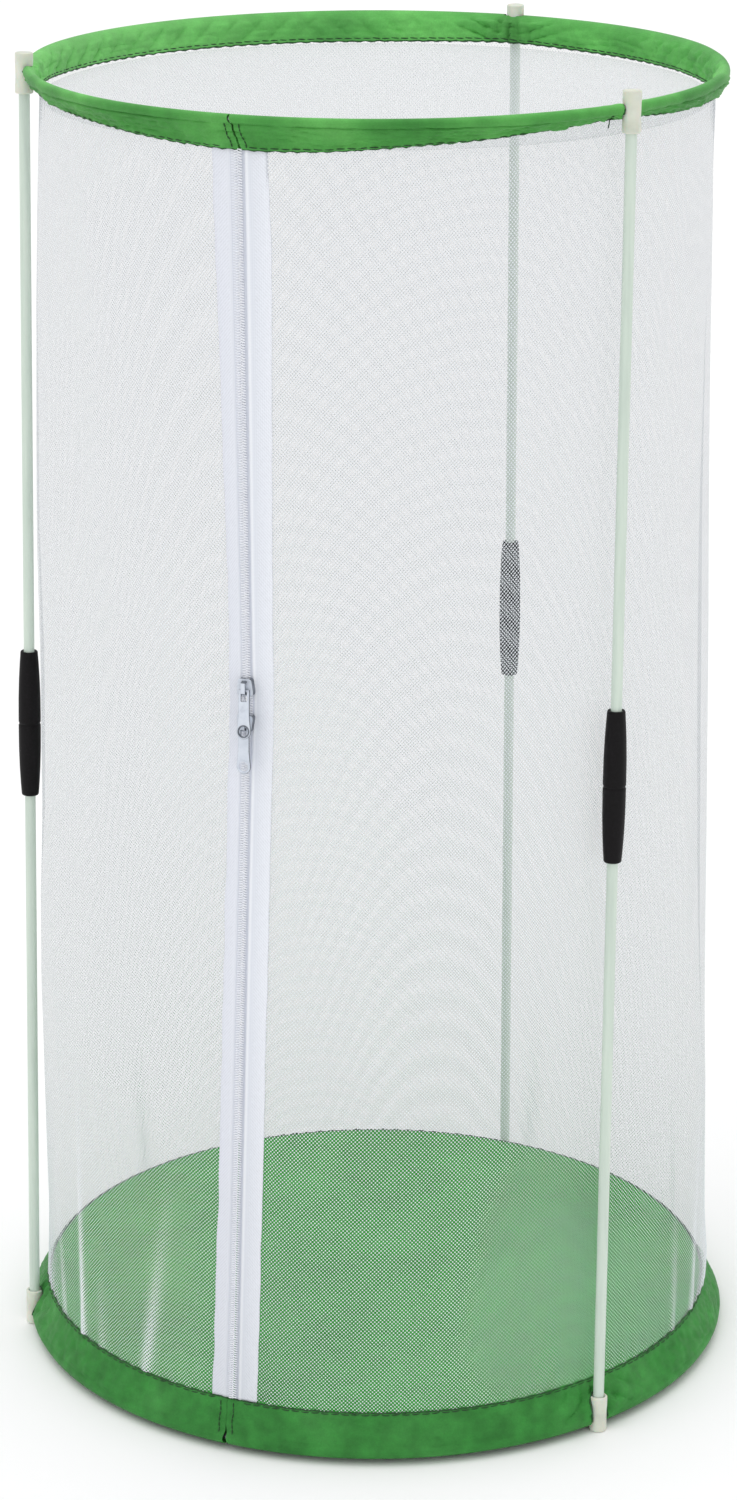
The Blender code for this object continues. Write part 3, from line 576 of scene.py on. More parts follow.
# sideHalf: half width of the sides in degrees. margin: how far the tape lies over the net. tuck: how far the
# net's edge lies behind the tape. wide: the weave's own width.
netShape = {
    "foldDepth": 0.0045, "wrinkle": 0.0007, "wrinkleSize": 10.2, "wrinkleRise": 3.74, "gather": 0.0005,
    "gatherRate": 118, "gatherHead": 0.03, "gatherFoot": 0.025, "doubled": 0.0008, "sideHalf": 13.0,
    "margin": 0.0010, "tuck": 0.0006, "wide": 0.965, "grid": (640, 130), "quickGrid": (300, 80),
}
# Gathers sewn in at the bottom seam, where the net lies double: clock angle at the foot and at the top, height
# where they fade, half width in degrees and strength
netGathers = (
    (-68.0, -71.0, 0.085, 1.0, 0.50), (-59.8, -62.3, 0.160, 0.9, 0.90), (-42.0, -35.0, 0.120, 1.5, 0.55),
    (-53.3, -54.5, 0.050, 1.1, 0.30), (62.0, 62.5, 0.090, 1.0, 0.50), (70.5, 74.0, 0.130, 1.1, 0.60),
    (-85.0, -84.0, 0.150, 9.5, 0.80), (83.0, 82.0, 0.170, 9.0, 0.80), (150.0, 147.0, 0.090, 1.4, 0.40),
    (-132.0, -128.0, 0.100, 1.4, 0.40), (110.0, 112.0, 0.080, 1.2, 0.35),
)
# Height, and how far the net stands out there, at its left and right edges as the viewer sees them
netSides = {
    -86.0: ((0.022, 0.0), (0.060, 0.0), (0.085, 0.001), (0.125, 0.0023), (0.175, 0.0036), (0.225, 0.0036),
            (0.262, 0.0018), (0.340, 0.0014), (0.400, 0.0028), (0.500, 0.0024), (0.570, 0.0011), (0.600, 0.0)),
    85.0: ((0.022, 0.001), (0.035, 0.0023), (0.060, 0.0015), (0.130, 0.0021), (0.175, 0.0013), (0.220, 0.0005),
           (0.265, 0.0002), (0.308, -0.0003), (0.395, -0.0010), (0.480, -0.0006), (0.560, 0.0003), (0.600, 0.0)),
}


def zipClock(height):
    places = zipPlaces
    table = (
        (hoops["bottom"]["seamHeight"], places["footClock"]),
        (places["kneeHeight"], places["kneeClock"]),
        (hoops["top"]["seamHeight"], places["headClock"]),
    )
    return between(height, table)


def netOffset(clock, share):
    # How far the net stands out from the plain wall
    offset = 0.0
    for middle, half, size, lean in netFolds:
        offset += size * bell(wrapped(clock - middle - lean * (share - 0.5)), half)
    offset *= netShape["foldDepth"] * math.sin(math.pi * share)
    height = wallFoot + wallHeight * share
    for middle, table in netSides.items():
        near = bell(wrapped(clock - middle), netShape["sideHalf"])
        if near > 0.002:
            offset += near * between(height, table)
    wrinkle = noiseRound(clock, netShape["wrinkleSize"], share * netShape["wrinkleRise"])
    return offset + netShape["wrinkle"] * wrinkle * math.sin(math.pi * share) ** 0.5


# left and right: height, and the outer edge's distance from the zip's line. cut: the width of the flat tape.
# parted: how far the inner edge draws back between the sliders. cord and edgeCord: ridges, by share across.
tapeShape = {
    "left": ((0.022, 0.0108), (0.108, 0.0097), (0.404, 0.0084), (0.592, 0.0123), (0.600, 0.0125)),
    "right": ((0.022, 0.0117), (0.108, 0.0119), (0.404, 0.0121), (0.560, 0.0140), (0.592, 0.0130)),
    "thickness": 0.00045, "inner": 0.0003, "parted": 0.00075, "ruffle": 0.0006, "grid": (26, 420),
    "cut": {"left": 0.0100, "right": 0.0126}, "cord": 0.00030, "cordAt": {"left": 0.38, "right": 0.26},
    "cordHalf": 0.055, "edgeCord": 0.00020, "edgeCordAt": 0.97, "edgeCordHalf": 0.04,
}


def zipFrame(upper):
    # Axes of one stretch of the zip: X to the side, Y into the cage, Z up along the wall
    places = zipPlaces
    knee = atClock(plainRadius(places["kneeHeight"]), places["kneeClock"], places["kneeHeight"])
    hoop, clock = (hoops["top"], places["headClock"]) if upper else (hoops["bottom"], places["footClock"])
    end = atClock(hoop["seamRadius"], clock, hoop["seamHeight"])
    up = ((end - knee) if upper else (knee - end)).normalized()
    side = sideways((clock + places["kneeClock"]) / 2)
    side = (side - up * side.dot(up)).normalized()
    turn = Matrix((side, up.cross(side), up)).transposed().to_4x4()
    return Matrix.Translation(knee) @ turn


zipFrames = (zipFrame(False), zipFrame(True))


def onZip(side, lift, height):
    # A point beside the zip's line, lifted off the wall, at this height
    axes = zipFrames[1 if height >= zipPlaces["kneeHeight"] else 0]
    along = (height - zipPlaces["kneeHeight"]) / axes.col[2].z
    return axes @ Vector((side, -lift, along))


def zipPlace(height):
    axes = zipFrames[1 if height >= zipPlaces["kneeHeight"] else 0]
    return axes @ Matrix.Translation((0, 0, (height - zipPlaces["kneeHeight"]) / axes.col[2].z))


# Net


def netEdge(hand, height):
    # Where the net's edge lies beside the zip, behind the tape's outer margin
    return between(height, tapeShape["right" if hand > 0 else "left"]) - netShape["margin"]


def netDensity(clock, height):
    # How far the gathers close the net's holes, from 0 to 1
    total = 0.0
    for foot, head, top, half, strength in netGathers:
        share = (height - wallFoot) / top
        if share < 1.0:
            away = wrapped(clock - foot - (head - foot) * share)
            total += strength * bell(away, half) * (1.0 - smooth(share))
    return min(1.0, total)


def wallTurn(across, height):
    # How many degrees round from the zip a column of the net lies
    radius = plainRadius(height)
    start = math.degrees(netEdge(1, height) / radius)
    end = 360.0 - math.degrees(netEdge(-1, height) / radius)
    return start + (end - start) * across


def wallShade(across, share):
    height = wallFoot + wallHeight * share
    return netDensity(zipClock(height) + wallTurn(across, height), height), 0.0


def wallPlace(across, share):
    shape = netShape
    height = wallFoot + wallHeight * share
    turned = wallTurn(across, height)
    clock = zipClock(height) + turned
    near = min(turned, 360.0 - turned)
    offset = netOffset(clock, share) * smooth((near - 3.0) / 20.0)
    # The seam's own shape, fading down and up the wall
    topRadius, topHeight = seamPlace("top", clock)
    bottomHeight = seamPlace("bottom", clock)[1]
    rise = (topHeight - hoops["top"]["seamHeight"]) * share ** 6
    rise += (bottomHeight - hoops["bottom"]["seamHeight"]) * (1 - share) ** 3
    radius = plainRadius(height) + (topRadius - hoops["top"]["seamRadius"]) * share ** 6
    tuck = shape["tuck"] * smooth(1.0 - (near - 5.0) / 1.5)
    ends = bell(1 - share, shape["gatherHead"]) + bell(share, shape["gatherFoot"])
    gather = shape["gather"] * math.sin(math.radians(clock) * shape["gatherRate"]) * ends
    lift = shape["doubled"] * netDensity(clock, height)
    return atClock(radius + offset - tuck + gather + lift, clock, height + rise)


def makeNetWall(looks):
    columns, rows = netShape["grid"]
    bm = gridMesh(columns, rows, wallPlace, netShape["wide"], wallHeight, shadeOf=wallShade)
    wall = addPiece("netWallCloth", bm, looks["net"], "base", "net", ("net_wall",), smoothAngle=None)
    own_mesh(wall)


discShapes = {
    "top": {"radius": 0.1503, "height": 0.59935, "sag": 0.005, "wave": 0.0016},
    "floor": {"radius": 0.1598, "height": 0.0222, "sag": 0.0068, "wave": 0.0018, "thickness": 0.0005},
}
discGrid = 120


def discMesh(which, shade):
    shape = discShapes[which]
    radius, wave = shape["radius"], shape["wave"]

    def place(x, y):
        # A square grid pressed into a round one keeps its cells even
        a, b = 2 * x - 1, 2 * y - 1
        u = a * math.sqrt(1 - b * b / 2)
        v = b * math.sqrt(1 - a * a / 2)
        share = math.hypot(u, v)
        swell = wave * noise.noise(Vector((u * 3, v * 3, 0.4))) * (1 - share ** 4)
        swell += wave * 0.35 * math.sin(math.atan2(v, u) * 9 + 1.3) * share ** 3 * (1 - share)
        return Vector((u * radius, v * radius, shape["height"] - shape["sag"] * (1 - share * share) + swell))

    return gridMesh(discGrid, discGrid, place, 2 * radius, 2 * radius, shadeOf=lambda x, y: (shade, 0.0))


def makeDiscs(looks):
    net = addPiece("topNetCloth", discMesh("top", 0.0), looks["net"], "top", "net", ("top_net",),
                   smoothAngle=None)
    floor = addPiece("floorSheet", discMesh("floor", 1.0), looks["floorCloth"], "base", "bottom_cloth",
                     ("floor_cloth",), smoothAngle=None)
    thicken(floor, discShapes["floor"]["thickness"])


# Sleeves

# gathers: clock angle, half width in degrees, height and slant. slit: clock offset at the fold and at the seam,
# half its gap at the fold and at the seam, and the share of the flank over which the gap narrows. fullness: how
# much longer the strip is cut than the wire, which its wrinkles take up. strip: its width. folds: radius of the
# fold round the wire at the front and at the back. cutInside: how far inside the wire's middle the notches
# start. hems: the bound edges, of which the bottom sleeve's inner one lies under the floor sheet.
sleeveLooks = {
    "top": {
        "body": "top", "node": "top_sleeve", "slot": "top_cloth", "cloth": "topCloth",
        "notchDepth": 0.0096, "wave": 0.0012, "crease": 0.00085, "pleat": 0.0013, "pucker": 0.00045,
        "gathers": ((60.0, 14.0, 0.0010, 16.0), (-68.0, 12.0, 0.0009, -18.0), (30.0, 9.0, 0.0006, -12.0),
                    (-44.0, 10.0, 0.0007, 24.0), (6.0, 12.0, 0.0005, 15.0), (82.0, 10.0, 0.0012, -20.0),
                    (149.0, 5.0, 0.0022, 16.0), (160.5, 5.0, 0.0022, -16.0), (-110.0, 20.0, 0.0020, 9.0),
                    (-150.0, 22.0, 0.0018, 8.0), (180.0, 16.0, 0.0014, -8.0), (112.0, 18.0, 0.0018, 9.0)),
        "slit": (-0.95, 0.60, 0.00045, 0.00060, 1.0), "fullness": 1.10, "strip": 2 * 0.0117 + 0.0070,
        "folds": (0.0022, 0.0031), "cutInside": 0.0016, "hems": (0.0, 1.0), "seamShare": 0.038,
    },
    "bottom": {
        "body": "base", "node": "bottom_sleeve", "slot": "bottom_cloth", "cloth": "bottomCloth",
        "notchDepth": 0.0112, "wave": 0.0008, "crease": 0.00045, "pleat": 0.0011, "pucker": 0.00025,
        "gathers": ((33.5, 4.0, 0.0021, -14.0), (42.5, 4.5, 0.0022, 14.0), (-77.0, 6.0, 0.0012, -12.0),
                    (64.0, 11.0, 0.0008, 18.0), (86.0, 10.0, 0.0008, -12.0), (-58.0, 8.0, 0.0005, 14.0)),
        "slit": (0.05, -0.90, 0.0014, 0.00006, 0.42), "fullness": 1.03, "strip": 2 * 0.0170 + 0.0093,
        "folds": (0.0031, 0.0031), "cutInside": 0.0026, "hems": (1.0,), "seamShare": 0.018,
    },
}
# flankShare: the part of the strip's width that lies flat on each side of the fold. creaseShares and wireShare
# count across the strip, from its inner edge over the wire to its outer edge.
sleeveShape = {
    "flankShare": 0.40, "seamGap": 0.0004, "thickness": 0.0004, "grid": (1000, 40), "quickGrid": (360, 20),
    "creaseShares": (0.70, 0.80, 0.88, 0.22, 0.12), "creaseHalf": 0.018, "wireShare": 0.622, "wireHalf": 0.014,
    "pullHalf": 4.5, "pullRate": 2.4, "gatherRate": 0.62, "ragged": 0.00035, "waver": 0.10,
}
# beside to count: the stitches along the slit
stitch = {
    "length": 0.0036, "pitch": 0.0046, "radius": 0.00030, "sink": 0.00012, "off": 0.0001,
    "beside": 0.0033, "start": 0.63, "step": 0.057, "reach": 0.050, "count": 6,
}
hemShape = {"radius": 0.00042, "steps": 720, "notchRadius": 0.0005, "notchLift": 0.0002}
notchHalf = 0.0047


def notchClocks(which):
    return [rodPlaces[name][1 if which == "top" else 0] for name in rodPlaces]


def sleeveProfile(which, clock, share):
    # A point of the folded strip, from its inner edge at the seam over the wire to its outer edge
    hoop = hoops[which]
    seamRadius, seamHeight = seamPlace(which, clock)
    down = Vector((seamRadius - hoop["radius"], seamHeight - hoop["height"]))
    length = down.length
    along = down / length
    across = Vector((-along.y, along.x))
    if across.x > 0:
        across = -across
    # across points inward, and the strip runs from the inner side to the outer one
    flank = sleeveShape["flankShare"]
    tight, loose = sleeveLooks[which]["folds"]
    bend = tight + (loose - tight) * smooth((abs(wrapped(clock)) - 80.0) / 30.0)
    tangent = math.acos(bend / length)
    if flank <= share <= 1 - flank:
        angle = tangent + (math.tau - 2 * tangent) * (share - flank) / (1 - 2 * flank)
        a, b = bend * math.cos(angle), bend * math.sin(angle)
    else:
        hand, part = (1, share / flank) if share < flank else (-1, (1 - share) / flank)
        gap = sleeveShape["seamGap"]
        a = length + (bend * math.cos(tangent) - length) * part
        b = hand * (gap + (bend * math.sin(tangent) - gap) * part)
    flat = abs(share - 0.5) / 0.5
    return Vector((hoop["radius"], hoop["height"])) + along * a + across * b, across, flat


def sleeveWave(which, clock, share):
    # Small wrinkles, in metres out of the cloth: soft swells, creases along it, and gathers at the plugs
    look, shape = sleeveLooks[which], sleeveShape
    wave = look["wave"] * noiseRound(clock, 12, share * 5)
    wave += look["wave"] * 0.7 * noiseRound(clock, 45, share * 9 + 3)
    # Creases that run along the strip and wander a little
    wander = 0.10 * noiseRound(clock, 5, 9.0)
    strength = 0.5 + 0.5 * noiseRound(clock, 7, 4.0)
    for middle in shape["creaseShares"]:
        wave -= look["crease"] * strength * bell(share - middle - wander, shape["creaseHalf"])
    # The wire's round shows as a step below the fold
    step = bell(share - shape["wireShare"] - 0.1 * wander, shape["wireHalf"])
    wave -= look["crease"] * (0.9 + strength) * step
    for notch in notchClocks(which):
        away = wrapped(clock - notch)
        pull = bell(away, shape["pullHalf"])
        lean = 0.5 * (share - 0.5) * math.copysign(9.0, away)
        wave += look["pleat"] * pull * math.sin(away * shape["pullRate"] + lean)
    for middle, half, size, slant in look["gathers"]:
        away = wrapped(clock - middle)
        fold = abs(math.sin(away * shape["gatherRate"] + (share - 0.5) * slant)) ** 0.6
        wave += size * bell(away, half) * fold
    flat = abs(share - 0.5) * 2
    flank = smooth(flat * 4 - 0.4) * smooth((1 - flat) * 6)
    # The cloth puckers between the stitches of the seam
    turns = (clock - sleeveHeadClock(which) - 2.0) * math.radians(hoops[which]["seamRadius"]) / stitch["pitch"]
    return wave * flank + look["pucker"] * abs(math.sin(math.pi * turns)) ** 0.7 * bell(flat - 0.93, 0.045)


def sleeveHeadClock(which):
    return zipPlaces["headClock" if which == "top" else "footClock"]


def sleevePoint(which, clock, share, lift=0.0):
    # A point of the wrinkled sleeve, or of a line that stands off it
    point, across, flat = sleeveProfile(which, clock, share)
    # The offset goes out of the cloth: inward on the inner flank, outward on the outer one
    out = across * (1 if share < 0.5 else -1)
    point = point + out * (sleeveWave(which, clock, share) + lift)
    spot = Vector((math.radians(clock) * 90, share, 2.0))
    ragged = sleeveShape["ragged"] * noise.noise(spot) * smooth((flat - 0.9) * 10)
    return atClock(point.x, clock, point.y + ragged)


def slitClock(which, share, hand):
    # The clock angle of one of the sleeve's two ends, which meet over the zip
    look = sleeveLooks[which]
    atFold, atSeam, halfFold, halfSeam, reach = look["slit"]
    flat = abs(share - 0.5) * 2
    half = math.degrees((halfFold + (halfSeam - halfFold) * min(1.0, flat / reach)) / hoops[which]["radius"])
    waver = sleeveShape["waver"] * math.sin(share * 31.0)
    return sleeveHeadClock(which) + atFold + (atSeam - atFold) * flat + waver + hand * half


def aroundClock(which, share, around):
    # The clock angle at a share of the way round, from one end of the strip to the other
    first, last = slitClock(which, share, 1), slitClock(which, share, -1) + 360.0
    return first + (last - first) * around


def sleeveShade(which, clock, share):
    # Painted light and shade: how much lighter the cloth is there than its own colour, and how much paler
    clock = wrapped(clock)
    inner = smooth((0.5 - share) * 8 + 0.5)
    # Bottom sleeve: painted light on its right side and on its inner face
    if which == "bottom":
        return 1.0 + 0.12 * smooth((clock - 20.0) / 30.0) + 0.2 * inner, 0.0
    # Top sleeve: painted shade on the outer face towards the right and the left, painted light on the inner face,
    # most on the left, and painted shade in the bunch at the back plug
    outer = 1.0 - 0.05 * bell(clock - 68.0, 18.0) - 0.12 * bell(clock + 60.0, 18.0)
    left = bell(clock + 115.0, 45.0)
    bunchShade = 1.0 - 0.22 * bell(clock - 154.8, 3.5)
    return outer + ((1.45 + 0.45 * left) * bunchShade - outer) * inner, (0.05 + 0.16 * left) * inner


def makeSleeve(which, looks):
    look, hoop, shape = sleeveLooks[which], hoops[which], sleeveShape

    def place(around, share):
        return sleevePoint(which, aroundClock(which, share, around), share)

    # The painted light and shade go into the grid's shade layer
    def shadeOf(around, share):
        return sleeveShade(which, aroundClock(which, share, around), share)

    columns, rows = shape["grid"]
    length, strip = math.tau * hoop["radius"], look["strip"]
    bm = gridMesh(columns, rows, place, length, strip, shadeOf=shadeOf)
    sleeve = addPiece(look["node"] + "Cloth", bm, looks[look["cloth"]], look["body"], look["slot"],
                      (look["node"],), smoothAngle=None)
    thicken(sleeve, shape["thickness"])
    cutters = []
    towards = math.copysign(1.0, hoop["seamHeight"] - hoop["height"])
    outline = arcPoints((0, look["notchDepth"] - notchHalf), notchHalf, 0.0, 180.0, 18)
    outline += [(-notchHalf, -0.006), (notchHalf, -0.006)]
    # Only the outer half is cut: the inner one passes behind the plug
    inside = hoop["radius"] - look["cutInside"]
    for clock in notchClocks(which):
        points = []
        for side, up in outline:
            points.append(atClock(inside, clock, hoop["height"] + towards * up) + sideways(clock) * side)
        cutters.append(helperFrom(prism(points, outward(clock) * 0.024)))
    cutWith(sleeve, cutters)
    sharpenAgain(sleeve)
    sewSleeve(which, looks)
    hemSleeve(which, looks)


def addStitch(bm, start, end, lift):
    # One stitch: a short thread that rises out of the cloth and dips back in at its ends
    radius = stitch["radius"]
    path = []
    for step in range(5):
        share = step / 4
        path.append(start.lerp(end, share) + lift * (stitch["sink"] + radius * 0.9 * math.sin(math.pi * share)))
    joinInto(bm, tubeMesh(path, lambda share: radius * (0.55 + 0.45 * math.sin(math.pi * share)), 6, lift))


def addLooseEnds(bm):
    # Two slanted stitches and a loose thread end beside the right plug
    for clock, lean in ((41.4, 0.35), (40.6, 0.30)):
        start = sleevePoint("top", clock, 0.70, stitch["off"])
        addStitch(bm, start, sleevePoint("top", clock - lean, 0.90, stitch["off"]), outward(clock))
    clock = 41.2
    start = sleevePoint("top", clock, 0.985, 0.0003)
    path = []
    for step in range(7):
        share = step / 6
        drop = Vector((0, 0, -0.0034 * share))
        path.append(start + outward(clock) * 0.0007 * share - sideways(clock) * 0.0013 * share ** 1.5 + drop)
    joinInto(bm, tubeMesh(path, 0.00024, 6, outward(clock)))


def outerShare(which, clock, height):
    # Where on the outer flank the sleeve has this height
    low, high = 0.5, 1.0
    towards = hoops[which]["seamHeight"] > hoops[which]["height"]
    for _ in range(18):
        middle = (low + high) / 2
        above = sleeveProfile(which, clock, middle)[0].y > height
        if above == towards:
            high = middle
        else:
            low = middle
    return (low + high) / 2


def sewSleeve(which, looks):
    # Seam stitches on both faces, and the stitches beside the slit
    look, hoop, off = sleeveLooks[which], hoops[which], stitch["off"]
    seams = bmesh.new()
    step = math.degrees(stitch["pitch"] / hoop["seamRadius"])
    long = math.degrees(stitch["length"] / hoop["seamRadius"])
    first = sleeveHeadClock(which) + 2.0
    for share, sign in ((1 - look["seamShare"], 1), (look["seamShare"], -1)):
        for index in range(int(356.0 / step)):
            clock = first + step * index
            end = sleevePoint(which, clock + long, share + 0.006 * (index % 2), off)
            addStitch(seams, sleevePoint(which, clock, share, off), end, outward(clock) * sign)
    for hand in (-1, 1):
        beside = math.degrees(stitch["beside"] / hoop["radius"]) * hand
        for index in range(stitch["count"]):
            share = stitch["start"] + stitch["step"] * index
            ends = []
            for part in (share, share + stitch["reach"]):
                ends.append(sleevePoint(which, slitClock(which, part, 0) + beside, part, off))
            addStitch(seams, ends[0], ends[1], outward(first))
    if which == "top":
        addLooseEnds(seams)
    addPiece(look["node"] + "Stitches", seams, looks["thread"], look["body"], look["slot"], smoothAngle=None,
             solid=True)


def hemSleeve(which, looks):
    # The bound edges and the hemmed notches
    look, hoop, shape = sleeveLooks[which], hoops[which], hemShape
    edges = bmesh.new()
    for share in look["hems"]:
        path = []
        for index in range(shape["steps"] + 1):
            clock = aroundClock(which, share, index / shape["steps"])
            uneven = 0.00022 * math.sin(index * 1.3) + 0.0002 * noise.noise(Vector((index * 0.21, share, 0.0)))
            path.append(sleevePoint(which, clock, share, 0.0) + Vector((0, 0, uneven)))
        joinInto(edges, tubeMesh(path, shape["radius"], 6, Vector((0, 0, 1))))
    outline = [(notchHalf, -0.0005), (notchHalf, 0.0015)]
    outline += arcPoints((0, look["notchDepth"] - notchHalf), notchHalf, 0.0, 180.0, 24)
    outline += [(-notchHalf, 0.0015), (-notchHalf, -0.0005)]
    towards = math.copysign(1.0, hoop["seamHeight"] - hoop["height"])
    for notch in notchClocks(which):
        path = []
        for side, up in outline:
            clock = notch + math.degrees(side / hoop["radius"])
            share = outerShare(which, clock, hoop["height"] + towards * up)
            path.append(sleevePoint(which, clock, share, shape["notchLift"]))
        joinInto(edges, tubeMesh(path, shape["notchRadius"], 8, outward(notch)))
    addPiece(look["node"] + "Hems", edges, looks["hem"], look["body"], look["slot"], smoothAngle=None, solid=True)


# Zip

# ramp: the height over which the chain parts at a slider
coilShape = {
    "radius": 0.00027, "centre": 0.00078, "lift": 0.00128, "halfWide": 0.00088, "halfDeep": 0.00036,
    "pitch": 0.00115, "steps": 12, "sides": 5, "endGap": 0.0006, "parting": 0.0009, "ramp": 0.003,
}
# rearChannel and tapeWay: half the room for the closed chain and for the tapes. over: how far the cutters reach
# past the body. sink: how deep the post and the arch stand in the plate.
sliderShape = {
    "heights": {"upper": 0.3656, "lower": 0.3493}, "length": 0.0078, "halfWidth": 0.00375, "plate": 0.0009,
    "flange": 0.0008, "rear": 0.80, "waist": 0.30, "corner": 0.0012, "lift": 0.00335, "rearChannel": 0.00205,
    "tapeWay": 0.00055, "over": 0.002, "arch": (0.0060, 0.0020, 0.0024), "archBar": 0.0008,
    "archCorner": 0.0014, "archInner": 0.0006, "sink": 0.0004, "postWidth": 0.0015, "postLength": 0.0024,
    "edge": 0.00022,
}


def partedShare(height):
    # How far the chain is parted, which it is between the posts of the two sliders
    heights, reach = sliderShape["heights"], sliderShape["length"] / 2
    low = heights["lower"] + reach - sliderShape["postLength"]
    high = heights["upper"] - reach + sliderShape["postLength"]
    return smooth(1.0 - max(low - height, height - high, 0) / coilShape["ramp"])


def makeTape(hand, looks):
    name = "right" if hand > 0 else "left"
    shape = tapeShape

    def place(across, share):
        height = wallFoot + wallHeight * share
        parted = partedShare(height)
        inner = shape["inner"] + shape["parted"] * parted
        outer = between(height, shape[name])
        ruffle = shape["ruffle"] * noise.noise(Vector((height * 55, hand * 3.1, 0))) * smooth(across * 2 - 1)
        side = inner + (outer + ruffle - inner) * across
        radius = plainRadius(height)
        inward = radius - math.sqrt(radius * radius - side * side)
        cord = shape["cord"] * (1.0 - parted) * bell(across - shape["cordAt"][name], shape["cordHalf"])
        cord += shape["edgeCord"] * bell(across - shape["edgeCordAt"], shape["edgeCordHalf"])
        return onZip(hand * side, -inward + cord + ruffle * 0.4, height)

    columns, rows = shape["grid"]
    bm = gridMesh(columns, rows, place, tapeLook["width"], wallHeight)
    tape = addPiece("zipTape" + name.capitalize(), bm, looks[name + "Tape"], "base", "tape",
                    ("zip_tape_" + name,), None)
    thicken(tape, shape["thickness"])
    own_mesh(tape)


def makeCoil(hand, looks):
    # One side of the chain: a flattened monofilament coil whose turns show as the teeth
    name = "right" if hand > 0 else "left"
    shape = coilShape
    turns = round(wallHeight / shape["pitch"])
    steps = turns * shape["steps"]
    path = []
    for step in range(steps + 1):
        share = step / steps
        height = wallFoot + shape["endGap"] + (wallHeight - 2 * shape["endGap"]) * share
        phase = math.tau * turns * share + (math.pi if hand > 0 else 0.0)
        middle = shape["centre"] + shape["parting"] * partedShare(height)
        side = hand * (middle + shape["halfWide"] * math.cos(phase))
        lift = shape["lift"] + shape["halfDeep"] * math.sin(phase)
        path.append(onZip(side, lift, height))
    bm = tubeMesh(path, shape["radius"], shape["sides"], outward(zipPlaces["headClock"]))
    coil = addPiece("zipCoil" + name.capitalize(), bm, looks["coil"], "zip_chain", "coil",
                    ("zip_coil_" + name,), None, solid=True)
    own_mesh(coil)


# Rods, ferrules and connectors


def rodFrame(name):
    bottomClock, topClock, _ = rodPlaces[name]
    foot = atClock(hoops["bottom"]["radius"] + rodOffset, bottomClock, hoops["bottom"]["height"])
    head = atClock(hoops["top"]["radius"] + rodOffset, topClock, hoops["top"]["height"])
    up = (head - foot).normalized()
    away = outward((bottomClock + topClock) / 2)
    away = (away - up * away.dot(up)).normalized()
    turn = Matrix((away, up.cross(away), up)).transposed().to_4x4()
    return Matrix.Translation(foot) @ turn, (head - foot).length


# profile: share of the half length, and radius. lip: radius, and distance below the mouth.
ferruleShape = {
    "half": 0.035, "steps": 40, "sides": 64, "bore": 0.00275, "groove": 0.00042, "grooveHalf": 0.0004,
    "profile": (
        (0.0, 0.00520), (0.10, 0.00520), (0.36, 0.00513), (0.62, 0.00484), (0.84, 0.00442), (0.955, 0.00412),
        (0.985, 0.00405),
    ),
    "lip": ((0.0038, 0.0), (0.0031, 0.0), (0.00285, 0.0004), (0.00275, 0.0012), (0.00275, 0.004)),
}
rodShape = {"radius": 0.0025, "edge": 0.0004, "steps": 24, "sides": 40, "endGap": 0.0035, "middleGap": 0.0003}


def ferrulePoints():
    shape = ferruleShape
    half, profile = shape["half"], shape["profile"]
    upper = []
    for step in range(shape["steps"] + 1):
        share = step / shape["steps"] * profile[-1][0]
        groove = shape["groove"] * bell(share * half, shape["grooveHalf"])
        upper.append((between(share, profile) - groove, share * half))
    upper += [(radius, half - below) for radius, below in shape["lip"]]
    points = [(radius, -height) for radius, height in upper[::-1]][:-1] + upper
    return [(shape["bore"], points[0][1])] + points + [(shape["bore"], points[-1][1])]


def makeRods(looks):
    shape = rodShape
    radius, edge, steps, gap = shape["radius"], shape["edge"], shape["steps"], shape["middleGap"]
    for name, (_, _, middleHeight) in rodPlaces.items():
        axes, length = rodFrame(name)
        body, title = "rod_" + name, name.capitalize()
        middle = (middleHeight - hoops["bottom"]["height"]) / axes.col[2].z
        bm = spun(ferrulePoints(), ferruleShape["sides"], axes @ Matrix.Translation((0, 0, middle)))
        addPiece("ferruleTube" + title, bm, looks["ferrule"], body, "ferrule", ("ferrule_" + name,), solid=True)
        # The back rod takes the lighter copy, painted light
        look = looks["backRod" if name == "back" else "rod"]
        ends = (("lower", shape["endGap"], middle - gap), ("upper", middle + gap, length - shape["endGap"]))
        for half, low, high in ends:
            profile = [(0, low), (radius - edge, low), (radius, low + edge)]
            profile += [(radius, low + edge + (high - low - 2 * edge) * step / steps) for step in range(1, steps)]
            profile += [(radius, high - edge), (radius - edge, high), (0, high)]
            addPiece(half + "RodBar" + title, spun(profile, shape["sides"], axes), look, body, "rod",
                     (half + "_rod_" + name,), solid=True)


# tail: from the wire to the closed end. head: from the wire to the socket's mouth. waist: radius and height of
# the points between the two thicker ends. rounding: the angles of the points on a rounded edge.
connectorShape = {
    "tail": {"top": 0.0079, "bottom": 0.0060}, "head": {"top": 0.0104, "bottom": 0.0112}, "radius": 0.0041,
    "waist": ((0.0041, -0.0034), (0.0040, -0.0028), (0.0039, 0.0028), (0.0040, 0.0052), (0.0041, 0.0060)),
    "edge": 0.0007, "rounding": (0.4, 0.8, 1.2, math.pi / 2), "socketRadius": 0.0028, "socketFloor": 0.0032,
    "mouthWider": 0.0004, "mouthDepth": 0.0005, "slotRadius": 0.0020, "slotReach": 0.012, "slotHalf": 0.01,
    "soft": 0.00025, "sides": 48,
}


def connectorProfile(which):
    shape = connectorShape
    tail, head, edge, turns = shape["tail"][which], shape["head"][which], shape["edge"], shape["rounding"]
    socket, inset = shape["socketRadius"], shape["radius"] - edge
    profile = [(0, -tail)]
    profile += [(inset + edge * math.sin(turn), -tail + edge - edge * math.cos(turn)) for turn in (0,) + turns]
    profile += [*shape["waist"], (shape["radius"], head - edge)]
    profile += [(inset + edge * math.cos(turn), head - edge + edge * math.sin(turn)) for turn in turns]
    profile += [(socket + shape["mouthWider"], head), (socket, head - shape["mouthDepth"])]
    return profile + [(socket, shape["socketFloor"]), (0, shape["socketFloor"])]


